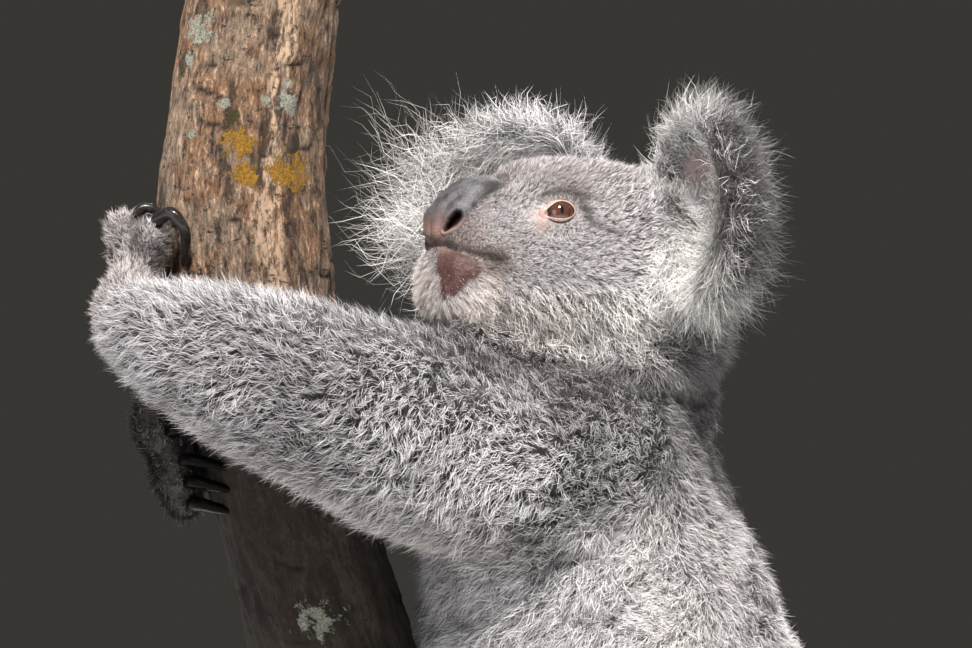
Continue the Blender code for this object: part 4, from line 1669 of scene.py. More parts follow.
    def _mark_head(self, on: HeadMap) -> None:
        """Marks the head: short grey face, longer cheek, painted shadow on the nape, white ruff of the jaw.

        Args:
            on: The places on the head.
        """
        fields = self.fields
        head, cheek, ruff, chin = on.head, on.cheek, on.ruff, on.chin
        f, _, u = on.local.T
        front = step(-0.022, 0.002, f)
        nape = head * (1 - front) * step(-0.010, -0.030, u)
        fields.add(head, mess=-0.50, speckle=1.6, mottle=-0.40, tone=0.18, warm=0.12, catch=0.10)
        fields.add(head * step(0.045, 0.075, f), length=-0.0026, width=-0.00006)
        fields.add(head * step(0.020, -0.030, f), length=0.0030)
        fields.add(head * step(0.030, 0.0, f), lift=8)
        fields.add(head * step(0.020, 0.060, f), density=1.4)
        fields.add(head * step(0.014, 0.030, u) * step(-0.02, 0.01, f), tone=-0.47)
        fields.add(head * step(0.045, 0.06, f), tone=-0.12)
        fields.add(head * step(0.015, 0.035, u), warm=0.10)
        fields.add(head * step(0.03, 0.05, u), pale=0.10)
        fields.add(head * (1 - cheek) * (1 - ruff) * (1 - chin), speckle=1.3)
        fields.add(head * (1 - ruff), curl=-0.18)
        fields.add(cheek, length=0.0030, clump=0.0012, tone=0.28, curl=0.4, catch=0.5)
        fields.add(cheek * self.wide_noise.at(self.skin.at, 0.012, 2), tone=0.25)
        fields.add(ruff, length=0.0100, clump=0.0022, curl=0.9, mess=0.60, mottle=2.2, catch=0.7)
        fields.add(ruff, density=-0.5, width=0.00008, lift=4, tone=0.3)
        fields.add(ruff * step(-0.036, -0.050, u), length=0.0040)
        fields.add(ruff * step(0.015, 0.045, f), warm=0.20)
        fields.add(ruff * front, pale=1.0)
        fields.add(front * head * step(0.010, -0.020, u) * step(0.075, 0.055, f), pale=0.30)
        fields.add(chin * head, speckle=-1.2)
        fields.add(chin, length=0.0042, catch=0.7, mottle=0.3, tone=0.3, pale=1.1, warm=0.34)
        # Painted shadow of the ear on the lower back of the head.
        fields.add(nape, dark=0.15, speckle=1.8, mottle=2.0, tone=-0.35, pale=-0.20)

    def _lay_head(self, on: HeadMap) -> None:
        """Lays the head's coat: back from the nose, round the eyes, down in the ruff.

        Args:
            on: The places on the head.
        """
        fields = self.fields
        head, ruff = on.head[:, None], on.ruff[:, None]
        away = unit(on.local - np.array(FACE.tip)) + np.array([-0.35, 0.0, 0.10])
        eye = on.local - np.array(FACE.eye)
        near = step(0.020, 0.010, np.linalg.norm(eye, axis=1))[:, None]
        away = away * (1 - near) + unit(eye) * near
        away = away * (1 - ruff) + np.array([-0.85, 0.20, -0.70]) * ruff
        away[:, 1] *= np.where(on.right, -1.0, 1.0)
        fields.blend(head, lie=HEAD.turn(away))

    def _mark_muzzle(self, on: HeadMap) -> None:
        """Marks the muzzle: bare lip, brown corner of the mouth, dark bridge, leathery nose, painted shade
        above the eye and inside the mouth's slit and the nostril.

        Args:
            on: The places on the head.
        """
        fields = self.fields
        head, nostril = on.head, self.skin.nostril
        f, m, u = on.local.T
        mouth = gap_to(on.local, FACE.mouth)
        waver = 0.0012 * self.tall_noise.at(on.local, 0.003, 2)
        over = u - np.interp(f, *FACE.lip_top)
        front = np.interp(u, *FACE.lip_front) + 0.010 * on.right
        patch = step(0.0010, -0.0010, over) * step(-0.003, 0.003, u - np.interp(f, *FACE.lip_foot) + waver)
        patch *= step(0.0715, 0.0775, f + waver) * step(-0.002, 0.002, m - front + waver)
        bridge = np.maximum(on.near(FACE.bridge, 0.0095), 0.6 * on.near(FACE.bridge_side, 0.008))
        snout = head * step(0.066, 0.078, f) * step(-0.004, 0.001, u) * step(0.026, 0.016, u)
        brown = 1.3 * bell(mouth, 0.0042) * step(-0.0005, 0.0030, over)
        brown += 0.9 * spot(on.local, FACE.corner, 0.0062)
        brown = head * np.clip(brown, 0, 1) * (1 - patch) * (0.35 + 0.65 * step(0.003, 0.012, m))
        leather = np.clip(step(0.35, 0.75, self.skin.of("nose")) + step(1.9, 1.5, nostril), 0, 1)
        lower = step(0.0, 0.004, np.interp(f, *FACE.nose_fold) - u) * step(0.016, 0.010, u)

        fields.add(bridge, length=0.0022, speckle=1.5, dark=0.72, warm=0.35)
        # Painted shade above the eye, tinted brown.
        fields.add(on.near(FACE.brow, 0.012), dark=0.38, warm=0.15)
        fields.add(snout, pale=-0.3)
        fields.add(snout * head, warm=0.45)
        fields.add(snout * step(0.030, 0.014, m), dark=0.40)
        fields.add(brown, dark=1.05, warm=0.9, pale=-0.4, tone=-0.45)
        fields.add(head * bell(mouth, 0.010), warm=0.35)
        # Painted shade inside the mouth's slit and the nostril.
        fields.add(head * bell(mouth, 0.0012), cleft=1.0)
        fields.at_least(bare=head * patch, cleft=step(1.12, 0.82, nostril))
        fields["leather"] = leather * head * step(0.046, 0.062, f + waver)
        fields.add(on.near(FACE.nose_pink, 0.0085), flush=0.75)
        fields.add(bell(nostril - 1.38, 0.34) * lower, flush=0.60)

    def _mark_eye(self, on: HeadMap) -> None:
        """Marks the lids, their pale halo, lashes, tear stain and the thin coat of the temple, with painted
        shade in the lid's crease and in the gap before the ear.

        Args:
            on: The places on the head.
        """
        fields = self.fields
        head = on.head
        eye = np.linalg.norm((on.local - np.array(FACE.eye)) / np.array(FACE.eye_form), axis=1)
        lids, halo = head * step(0.0074, 0.0060, eye), head * step(0.0115, 0.0080, eye)
        lash = head * bell(eye - 0.0136, 0.0025) * step(0.003, 0.009, on.local[:, 2] - FACE.eye[2])
        tear = on.near(FACE.tear, 0.0074)
        # Painted shade in the gap between the head and the front of the ear.
        hollow = self._flank(Flank.EAR_ROOT)
        fields.scale(self._flank(Flank.EAR_FRONT), length=-0.45)
        fields.scale(hollow, length=-0.55)
        fields.add(hollow, dark=1.0, pale=-0.6)
        fields.at_least(bare=np.maximum(lids, 0.50 * tear), flush=np.maximum(lids, tear))
        # Painted shade along the lid's crease.
        fields.add(head * bell(gap_to(on.local, FACE.crease), 0.0030), dark=1.1)
        fields.add(head * step(0.022, 0.012, eye), length=-0.0018)
        fields.add(head * step(0.022, 0.010, eye), lift=-14)
        fields.add(tear, pale=1.5, catch=0.9, warm=0.26, dark=-0.6, speckle=-0.8)
        fields.add(halo, pale=0.45, warm=0.14, speckle=-0.3)
        fields.add(on.near(FACE.stain, 0.0038), warm=1.5)
        fields.add(on.near(FACE.stain, 0.0026), dark=0.35)
        fields.add(lash, dark=0.95)
        fields.scale(lash, length=-0.25)
        fields.at_least(length=0.0014)

    def _lay_ear(self, on: EarMap, tuft: Array) -> None:
        """Lays an ear's coat outwards from its root, back behind it, and down in its tuft.

        Args:
            on: The places on the ear.
            tuft: How much each vertex belongs to the ear's white tuft.
        """
        axes = on.ear.axes()
        radial = unit(np.stack([on.out + 0.55, on.up * 1.1, np.zeros(len(on.out))], axis=1)) @ axes
        behind = radial - 0.9 * axes[2] + np.array([0.0, 0.0, -0.15])
        low = -0.30 * axes[0] + 0.50 * axes[2] + np.array([0.0, 0.0, -1.0])
        edge = (on.share - on.inner - on.back).clip(0)
        lie = self.fields["lie"] * (1 - on.share[:, None])
        lie += radial * (on.inner + edge)[:, None] + behind * on.back[:, None]
        self.fields["lie"] = lie * (1 - tuft[:, None]) + low * tuft[:, None]

    def _mark_near_ear(self, on: EarMap) -> None:
        """Marks the left ear: grey back, pink hollow, dark groove, a brilliant white tuft below, painted
        shade on its back and under it, and a paler right edge, partly painted light.

        Args:
            on: The places on the ear.
        """
        fields = self.fields
        out, up, share, inner, back, rim = on.out, on.up, on.share, on.inner, on.back, on.rim
        x, _, z = self.skin.at.T
        tuft = self._flank(Flank.EAR_TUFT)
        hush = inner * (1 - tuft) * step(1.0, 0.7, np.hypot(out, up))
        lobe = share * step(0.1, -0.6, up) * (0.4 + 0.6 * rim)
        pink = self._flank(Flank.EAR_PINK) * (1 - rim)
        # Painted shade on the ear's back and on the head beneath the ear.
        shade, under = self._flank(Flank.EAR_SHADE) * (1 - tuft), self._flank(Flank.EAR_UNDER)
        groove = bell(gap_to(self.skin.at * np.array([1.0, 0.0, 1.0]), self.ear_groove), 0.0085)
        groove *= share * step(0.55, 0.05, self.skin.normal[:, 1]) * (1 - tuft)

        self._lay_ear(on, tuft)
        fields.blend(share, length=0.011 + 0.013 * back + 0.003 * rim + 0.005 * lobe - 0.003 * hush)
        fields.blend(share, lift=42 + 10 * rim * (1 - 2 * inner) - 22 * inner - 2 * back)
        fields.blend(share, pale=0.30 + 1.1 * tuft + 1.0 * hush + 0.60 * rim)
        fields.add(share * rim * step(0.35, -0.4, up) * step(0.1, 0.7, out), length=0.009)
        fields.blend(tuft, length=0.024, lift=34)
        fields.scale(0.30 * shade + 0.4 * under, length=-1)
        fields.scale(groove, length=-0.15)
        fields.add(share * rim * step(0.3, 0.8, out), length=0.003)
        fields.at_least(pale=1.6 * tuft)
        fields["pale"] = fields["pale"] - 1.5 * groove * fields["pale"].clip(0.4, 1.0)
        # A paler right edge of the ear: pale hair tips, partly painted light where the light does not reach.
        fields.add(share * bell(x - 0.089, 0.013) * bell(z - 0.640, 0.050), pale=0.8)
        fields.add(0.95 * groove + 0.30 * share * rim * step(-0.35, -0.75, up) + 0.85 * shade + under, dark=1)
        fields.scale(tuft, dark=-1)
        fields.add(tuft, density=1.6, tone=0.6, curl=0.4)
        fields.add((0.9 * tuft + 0.3 * rim) * (1 - groove), catch=1)
        fields.add(pink, density=-1.5, bare=0.60, warm=0.30)
        fields.add(shade, tone=-0.40, pale=-0.3)
        fields.add(back, tone=0.60)
        fields.add(rim, tone=0.2)
        fields.add(inner, flush=0.9)
        fields.add(share, curl=1.3, mottle=1.3)
        fields.add(groove, curl=-0.5)
        fields.scale(back + rim, mess=0.9)

    def _mark_far_ear(self, on: EarMap) -> None:
        """Marks the right ear: long grey coat on its back, paler and longer inside.

        Args:
            on: The places on the ear.
        """
        fields = self.fields
        out, up, share, inner, back, rim = on.out, on.up, on.share, on.inner, on.back, on.rim
        tuft = inner * step(0.10, -0.20, up) * step(0.75, 0.30, out)
        hush = inner * (1 - tuft) * step(1.0, 0.7, np.hypot(out, up))
        self._lay_ear(on, tuft)
        length = 0.011 + 0.014 * back + 0.003 * rim + 0.014 * inner - 0.010 * step(0.3, 0.9, out)
        fields.blend(share, length=length, lift=42 + 10 * rim + 8 * inner - 2 * back)
        fields.blend(share, pale=0.12 + 1.1 * tuft + 1.0 * hush + 0.40 * rim)
        fields.add(tuft, length=0.006)
        fields.add(inner, flush=0.9)
        fields.add(share, curl=1.7, clump=0.0022, mottle=2.0, catch=0.45)
        fields.scale(back + rim, mess=0.5)


@dataclass(frozen=True)
class Chance:
    """How far single hairs, and whole tufts, stray from the lie, length and shade of the coat."""

    turn: float = 0.24
    tuft_turn: float = 0.50
    lift: float = 9.0
    root_lift: float = 7.0
    tuft_lift: float = 10.0
    stretch: tuple[float, float] = (0.72, 1.15)
    tuft_stretch: tuple[float, float] = (0.76, 1.18)
    wave: float = 0.18
    tuft_wave: float = 0.50
    wobble: float = 0.30
    phase: float = 0.6
    roll: float = 0.6
    width: tuple[float, float] = (0.7, 1.25)
    shade: tuple[float, float] = (0.13, 0.34)
    tuft_shade: float = 0.17
    pull: tuple[float, float] = (0.62, 0.18)
    guard_share: float = 0.20
    tuft_stir: float = 0.10  # how far a hair strays into the next tuft, in tufts


@dataclass(frozen=True)
class Hair:
    """The form of a single hair and how it is shaded."""

    sink: float = 0.0004  # how deep it starts in the skin
    bends: tuple[float, float] = (3, 88)  # its least and most lift, in degrees
    wave_turn: float = 4.2  # how far its wave runs from root to tip, in radians
    wave_depth: float = 1.2
    sway: tuple[float, float] = (-0.6, 1.4)  # the lean of a short hair at its root and tip
    gather_bend: float = 1.3
    taper: float = 0.35  # how much narrower its last joint is
    cup: float = 0.35  # how far its edges' normals turn apart
    lid_share: float = 0.75  # how far its normal follows the hair, the skin and its roll
    skin_share: float = 0.45
    roll_share: float = 0.5
    lit: Place = (-0.15, -0.45, 0.85)  # where the normal of hair that catches the light leans
    rims: tuple[float, float, float] = (0.15, 0.85, 0.5)  # both edges and the tip, across the unwrap


@dataclass(frozen=True)
class Shades:
    """How dark the stiff guard hairs are, and the hairs that chance makes much darker than their tuft."""

    guard_tone: float = 0.45
    guard_dark: float = 0.50
    dusk_from: float = 0.22
    dusk_dark: float = 0.90


CHANCE, HAIR, SHADES = Chance(), Hair(), Shades()
TUFT_STEP = 1.25  # each grade of tuft is this much larger than the one below
TUFT_LEAST = 0.0008  # the smallest tuft
HASH = (73856093, 19349663, 83492791, 49979687)  # primes that number the tufts' cells
OFBAKE_SIZE = 0.003  # the side of a tuft's patch on the unwrap


@dataclass(frozen=True)
class Patch:
    """One piece of the coat: the parts it covers, its count of hairs and how they stand."""

    name: str
    nodes: tuple[str, ...]
    hairs: int
    segments: int = 2
    side: int = 0
    broad: float = 1.0
    root_lift: float = 66.0
    unruly: float = 1.0
    gather: float = 1.0


def down(name: str, nodes: tuple[str, ...], hairs: int, side: int = 0, broad: float = 1.0) -> Patch:
    """The short down that fills a patch between its longer hairs."""
    return Patch(name, nodes, hairs, 1, side, broad, root_lift=0.0, unruly=0.8)


ARM_NODES = {side: tuple(f"{part}_{side}" for part in LIMB_PARTS[:3]) for side in ("left", "right")}
LEG_NODES = {side: tuple(f"{part}_{side}" for part in LIMB_PARTS[3:]) for side in ("left", "right")}
PATCHES = (
    Patch("coat_face", ("face",), 110000, 1, root_lift=0.0, unruly=0.9, gather=0.5),
    Patch("coat_crown", ("crown",), 33000, 2, root_lift=45.0, unruly=0.9, gather=0.7),
    Patch("coat_ruff", ("ruff",), 24000, 3, root_lift=58.0, unruly=0.9),
    Patch("coat_ear_left", ("ear_left",), 24000, 3, root_lift=0.0, unruly=0.9),
    Patch("coat_ear_right", ("ear_right",), 16000, 4, root_lift=0.0, unruly=0.9),
    Patch("coat_neck", ("neck",), 16000),
    down("down_neck", ("neck",), 30000),
    Patch("coat_chest_left", ("chest",), 36000, side=-1),
    down("down_chest_left", ("chest",), 80000, -1),
    Patch("coat_chest_right", ("chest",), 14000, side=1, broad=1.8),
    down("down_chest_right", ("chest",), 26000, 1, 1.8),
    Patch("coat_belly_left", ("belly",), 22000, side=-1),
    down("down_belly_left", ("belly",), 48000, -1),
    Patch("coat_belly_right", ("belly",), 13000, side=1, broad=1.7),
    down("down_belly_right", ("belly",), 24000, 1, 1.7),
    Patch("coat_arm_left", ARM_NODES["left"], 62000),
    Patch("coat_arm_right", ARM_NODES["right"], 22000, broad=1.7),
    Patch("coat_leg_left", LEG_NODES["left"], 14000),
    down("down_leg_left", LEG_NODES["left"], 26000),
    Patch("coat_leg_right", LEG_NODES["right"], 17000, broad=1.45),
)


@dataclass(frozen=True)
class Fringe:
    """The long loose hairs at one ear's rim."""

    name: str
    ear: int
    hairs: int
    short: float
    long: float
    lift: float
    lean: tuple[float, float] = (-0.5, 0.6)
    facing: tuple[float, float] = (3.0, 2.0)
    pale: float = 0.75
    dark: float = 0.0
    curl: float = 1.9
    clump: float = 0.011
    width: float = 0.00030


FRINGES = (
    Fringe("fringe_left", 0, 900, 0.014, 0.024, 48, facing=(0.35, -0.10), pale=0.60, curl=1.3, clump=0.006),
    Fringe("fringe_right", 1, 4200, 0.026, 0.074, 34),
)


@dataclass
class Coat:
    """The whole coat, as pieces of joined flat hairs that taper to a point."""

    skin: Skin
    fields: dict[str, Array]
    fill: float = 1.0
    face_edge: float = 0.012
    ruff_top: float = -0.015
    ruff_length: float = 0.0085
    tris: Array = field(init=False)
    zone: Array = field(init=False)
    unwrap: Array = field(init=False)

    def build(self) -> None:
        """Grows every patch and the fringes of the ears."""
        mesh = self.skin.thing.data
        mesh.calc_loop_triangles()
        flat = np.empty(len(mesh.loop_triangles) * 3, np.int32)
        mesh.loop_triangles.foreach_get("vertices", flat)
        self.tris = flat.reshape(-1, 3)
        self._unwrap_skin(mesh)
        self._name_zones()
        for number, patch in enumerate(PATCHES):
            self._grow(patch, np.random.default_rng(SEED + 10 + number))
        for number, fringe in enumerate(FRINGES):
            self._grow_fringe(fringe, np.random.default_rng(SEED + 40 + number))

    def _grow_fringe(self, fringe: Fringe, rng: np.random.Generator) -> None:
        """Grows the long wavy hairs at an ear's rim.

        Args:
            fringe: The fringe.
            rng: The source of its chances.
        """
        ear = EARS[fringe.ear]
        chosen = np.nonzero(self.zone == ear.node())[0]
        out, up, _ = ear.local(self.skin.at[self.tris[chosen]].mean(axis=1)).T
        weight = step(0.70, 1.0, np.hypot(out, up)) * (0.15 + step(*fringe.lean, out)) * self._areas(chosen)
        weight *= step(*fringe.facing, self.skin.normal[self.tris[chosen]].mean(axis=1) @ ear.axes()[2])
        roots = self._roots(chosen, weight, fringe.hairs, rng)
        out, up, _ = ear.local(roots["at"]).T
        count = len(out)
        outwards = np.stack([out + 0.55, up * 0.35 - 0.05, rng.normal(0.25, 0.25, count)], axis=1)
        roots["lie"] = unit(outwards @ ear.axes())
        extra = step(0.25, 1.0, out) * step(1.0, 0.3, up) * rng.random(count)
        roots["length"] = fringe.short + (fringe.long - fringe.short) * extra
        roots["lift"] = fringe.lift + rng.normal(0, 10, count)
        for name in ("pale", "dark", "curl", "clump", "width"):
            roots[name] = np.full(count, getattr(fringe, name))
        self._make(Patch(fringe.name, (), fringe.hairs, 6, root_lift=0.0, unruly=0.9, gather=1.3), roots, rng)

    def _unwrap_skin(self, mesh: bpy.types.Mesh) -> None:
        """Lays the skin flat once, so that each tuft knows its place on the unwrap.

        Args:
            mesh: The skin's mesh.
        """
        with editing(self.skin.thing):
            bpy.ops.uv.smart_project(angle_limit=math.radians(66), island_margin=0.002)
        flat = np.empty(len(mesh.loops) * 2, np.float32)
        mesh.uv_layers.active.data.foreach_get("uv", flat)
        loops = np.empty(len(mesh.loop_triangles) * 3, np.int32)
        mesh.loop_triangles.foreach_get("loops", loops)
        self.unwrap = flat.reshape(-1, 2)[loops].reshape(-1, 3, 2).astype(float)

    def _name_zones(self) -> None:
        """Gives each triangle of the skin to one part of the body."""
        nodes = np.array(FLESH, dtype=object)
        best = self.skin.share[self.tris].mean(axis=1).argmax(axis=1)
        self.zone = nodes[best]
        middle = self.skin.at[self.tris].mean(axis=1)
        f, _, u = HEAD.local(middle).T
        head = self.zone == "head"
        self.zone[head & (f > self.face_edge)] = "face"
        self.zone[head & (f <= self.face_edge)] = "crown"
        ruff = self.fields["length"][self.tris].mean(axis=1) > self.ruff_length
        self.zone[head & (u < self.ruff_top) & ruff] = "ruff"

    def _at_roots(self, name: str, picked: Array, bary: Array) -> Array:
        """Reads a field at the roots.

        Args:
            name: The field.
            picked: The triangle under each root.
            bary: Each root's place in its triangle.

        Returns:
            One row per root.
        """
        corners = self.fields[name][self.tris[picked]]
        weight = bary if corners.ndim == 2 else bary[..., None]
        return (corners * weight).sum(axis=1)

    def _grow(self, patch: Patch, rng: np.random.Generator) -> None:
        """Grows one patch of the coat.

        Args:
            patch: The patch.
            rng: The source of its chances.
        """
        middle = self.skin.at[self.tris].mean(axis=1)
        mask = np.isin(self.zone, patch.nodes)
        if patch.side:
            mask &= np.sign(middle[:, 1] + 1e-9) == patch.side
        chosen = np.nonzero(mask)[0]
        weight = self._areas(chosen) * self.fields["density"][self.tris[chosen]].mean(axis=1)
        roots = self._roots(chosen, weight, int(patch.hairs * self.fill), rng)
        roots["width"] = roots["width"] * patch.broad / math.sqrt(self.fill)
        self._make(patch, roots, rng)

    def _areas(self, chosen: Array) -> Array:
        """The areas of the chosen triangles."""
        a, b, c = (self.skin.at[self.tris[chosen, k]] for k in range(3))
        return np.linalg.norm(np.cross(b - a, c - a), axis=1) / 2

    def _roots(self, chosen: Array, weight: Array, count: int, rng: np.random.Generator) -> dict[str, Array]:
        """Scatters roots over triangles and reads every field there.

        Args:
            chosen: The triangles.
            weight: How much each one attracts roots.
            count: How many roots.
            rng: The source of the chances.

        Returns:
            The roots' places, normals, places on the unwrap and fields.
        """
        picked = rng.choice(chosen, count, p=weight / weight.sum())
        r1, r2 = np.sqrt(rng.random(count)), rng.random(count)
        bary = np.stack([1 - r1, r1 * (1 - r2), r1 * r2], axis=1)
        roots = {name: self._at_roots(name, picked, bary) for name in self.fields}
        roots["at"] = (self.skin.at[self.tris[picked]] * bary[..., None]).sum(axis=1)
        roots["normal"] = unit((self.skin.normal[self.tris[picked]] * bary[..., None]).sum(axis=1))
        roots["unwrap"] = (self.unwrap[picked] * bary[..., None]).sum(axis=1)
        return roots

    def _make(self, patch: Patch, roots: dict[str, Array], rng: np.random.Generator) -> bpy.types.Object:
        """Makes one piece of hairs from their roots.

        Args:
            patch: The patch, for its name and the hairs' form.
            roots: The roots' places, normals, places on the unwrap and fields.
            rng: The source of the chances.

        Returns:
            The piece.
        """
        at, normal, segments = roots["at"], roots["normal"], patch.segments
        count = len(at)
        tuft = self._tufts(roots, rng)
        lie = unit(roots["lie"] - normal * np.sum(roots["lie"] * normal, axis=1, keepdims=True))
        swing = tuft["turn"] * roots["mess"] + rng.normal(0, CHANCE.turn, count) * (0.4 + 0.6 * roots["mess"])
        swing *= patch.unruly
        side = np.cross(normal, lie)
        lie = lie * np.cos(swing)[:, None] + side * np.sin(swing)[:, None]
        side = np.cross(normal, lie)
        length = roots["length"] * tuft["stretch"] * rng.uniform(*CHANCE.stretch, count)
        tip_lift = roots["lift"] + tuft["stand"] + rng.normal(0, CHANCE.lift, count) * patch.unruly
        root_lift = patch.root_lift * roots["upright"] + rng.normal(0, CHANCE.root_lift, count)
        root_lift = np.maximum(root_lift, tip_lift)
        wave = roots["curl"] * (tuft["wave"] + rng.normal(0, CHANCE.wave, count))
        phase = tuft["phase"] + rng.normal(0, CHANCE.phase, count)
        steps = np.linspace(0, 1, segments + 1)
        points = [at - normal * HAIR.sink]
        ways = []
        for k in range(segments):
            t = k / max(segments - 1, 1)
            bend = np.radians(np.clip(root_lift + (tip_lift - root_lift) * t, *HAIR.bends))
            if segments > 2:
                sway = wave * (np.sin(phase + HAIR.wave_turn * t) * HAIR.wave_depth)
                sway = sway + roots["curl"] * rng.normal(0, CHANCE.wobble, count)
            else:
                sway = wave * (HAIR.sway[0] + (HAIR.sway[1] - HAIR.sway[0]) * t)
            way = unit(lie * np.cos(bend)[:, None] + normal * np.sin(bend)[:, None] + side * sway[:, None])
            ways.append(way)
            points.append(points[-1] + way * (length / segments)[:, None])
        shift = (tuft["middle"] - at) * tuft["pull"][:, None] * patch.gather
        for k in range(1, segments + 1):
            points[k] = points[k] + shift * steps[k] ** HAIR.gather_bend
        return self._ribbons(patch, roots, points, tuft["shade"], rng)

    def _ribbons(
        self, patch: Patch, roots: dict[str, Array], points: list[Array], shade: Array,
        rng: np.random.Generator,
    ) -> bpy.types.Object:
        """Makes each hair a flat ribbon that tapers to a point along its bent line.

        Args:
            patch: The patch, for its name.
            roots: The roots.
            points: The hairs' lines, one array per joint.
            shade: How much paler each tuft is.
            rng: The source of the chances.

        Returns:
            The piece.
        """
        segments = len(points) - 1
        count = len(points[0])
        normal = roots["normal"]
        ways = [unit(points[k + 1] - points[k]) for k in range(segments)]
        roll = rng.normal(0, CHANCE.roll, count)
        half = roots["width"] * rng.uniform(*CHANCE.width, count) / 2
        rows, rims, alongs, normals = [], [], [], []
        for k in range(segments + 1):
            way = ways[min(k, segments - 1)] if k in (0, segments) else unit(ways[k - 1] + ways[k])
            flat = unit(np.cross(way, normal) + 1e-9)
            lid = np.cross(flat, way)
            across = flat * np.cos(roll)[:, None] + lid * np.sin(roll)[:, None]
            out = lid * HAIR.lid_share + normal * HAIR.skin_share
            out = out - flat * (np.sin(roll) * HAIR.roll_share)[:, None]
            out = unit(out + roots["catch"][:, None] * np.array(HAIR.lit))
            if k == segments:
                rows.append(points[k])
                normals.append(out)
                rims.append(np.full(count, HAIR.rims[2]))
                alongs.append(np.ones(count))
                continue
            size = half * (1.0 - HAIR.taper * k / segments)
            for sign, rim in zip((-1.0, 1.0), HAIR.rims):
                rows.append(points[k] + across * (sign * size)[:, None])
                normals.append(unit(out + across * sign * HAIR.cup))
                rims.append(np.full(count, rim))
                alongs.append(np.full(count, k / segments))
        per = 2 * segments + 1
        verts = np.stack(rows, axis=1).reshape(-1, 3)
        pattern = []
        for k in range(segments - 1):
            base = 2 * k
            pattern += [(base, base + 1, base + 3), (base, base + 3, base + 2)]
        pattern.append((2 * segments - 2, 2 * segments - 1, 2 * segments))
        faces = (np.arange(count)[:, None, None] * per + np.array(pattern)[None]).reshape(-1, 3)
        thing = self._mesh(patch.name, verts, faces, np.stack(normals, axis=1).reshape(-1, 3))
        along = np.stack(alongs, axis=1)
        self._unwrap_hairs(thing, roots["unwrap"], np.stack(rims, axis=1), along, faces)
        write_mark(thing, "along", along.ravel())
        bright = step(1.0, 1.4, roots["pale"])
        guard = (rng.random(count) < CHANCE.guard_share) * (1 - 0.7 * bright)
        change = shade + rng.normal(*CHANCE.shade, count) * roots["speckle"]
        tone = roots["tone"] + change - SHADES.guard_tone * guard
        dusk = np.clip(-change - SHADES.dusk_from, 0, 1) * (roots["mottle"] - 0.3).clip(0, 1)
        dusk *= 1 - 0.9 * bright
        dark = roots["dark"] + SHADES.guard_dark * guard * roots["speckle"] + SHADES.dusk_dark * dusk
        marks = {"tone": tone, "pale": roots["pale"], "warm": roots["warm"], "dark": dark}
        for mark, values in marks.items():
            write_mark(thing, mark, np.repeat(values, per))
        give(thing, CoatFinish())
        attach(thing, "root")
        log.info("%s: %d hairs, %d triangles", patch.name, count, len(faces))
        return thing

    def _tufts(self, roots: dict[str, Array], rng: np.random.Generator) -> dict[str, Array]:
        """Gathers the roots into tufts that share a turn, a length and a shade.

        Args:
            roots: The roots.
            rng: The source of the chances.

        Returns:
            Each hair's tuft middle, pull towards it, turn, stretch, stand and shade.
        """
        at = roots["at"]
        count = len(at)
        size = np.maximum(roots["clump"], 0.001) * 0.8
        size = TUFT_LEAST * TUFT_STEP ** np.round(np.log(size / TUFT_LEAST) / math.log(TUFT_STEP))
        stir = rng.normal(0, CHANCE.tuft_stir, at.shape) * size[:, None]
        cell = np.floor((at + stir) / size[:, None]).astype(np.int64)
        grade = np.round(size * 1e6).astype(np.int64)
        keys = np.column_stack([cell, grade]) @ np.array(HASH)
        _, tuft = np.unique(keys, return_inverse=True)
        tuft = tuft.ravel()
        number = tuft.max() + 1
        heads = np.bincount(tuft, minlength=number)
        middle = np.stack([np.bincount(tuft, at[:, k], number) for k in range(3)], axis=1) / heads[:, None]
        return {
            "middle": middle[tuft],
            "turn": rng.normal(0, CHANCE.tuft_turn, number)[tuft],
            "stretch": rng.uniform(*CHANCE.tuft_stretch, number)[tuft],
            "stand": rng.normal(0, CHANCE.tuft_lift, number)[tuft],
            "wave": rng.normal(0, CHANCE.tuft_wave, number)[tuft],
            "phase": rng.uniform(0, 2 * math.pi, number)[tuft],
            "shade": rng.normal(0, CHANCE.tuft_shade, number)[tuft] * roots["mottle"].clip(0.3, 3.0),
            "pull": np.clip(rng.normal(*CHANCE.pull, count), 0.05, 0.95),
        }

    def _mesh(self, name: str, verts: Array, faces: Array, normals: Array) -> bpy.types.Object:
        """Makes a mesh object of triangles with its own soft normals.

        Args:
            name: The object's name.
            verts: The vertices.
            faces: The triangles.
            normals: One normal per vertex.

        Returns:
            The object.
        """
        mesh = bpy.data.meshes.new(name)
        mesh.vertices.add(len(verts))
        mesh.vertices.foreach_set("co", verts.astype(np.float32).ravel())
        mesh.loops.add(len(faces) * 3)
        mesh.loops.foreach_set("vertex_index", faces.astype(np.int32).ravel())
        mesh.polygons.add(len(faces))
        mesh.polygons.foreach_set("loop_start", np.arange(0, len(faces) * 3, 3, dtype=np.int32))
        mesh.update(calc_edges=True)
        mesh.polygons.foreach_set("use_smooth", np.ones(len(faces), bool))
        mesh.normals_split_custom_set_from_vertices(normals.astype(np.float32))
        thing = bpy.data.objects.new(name, mesh)
        bpy.context.scene.collection.objects.link(thing)
        return thing

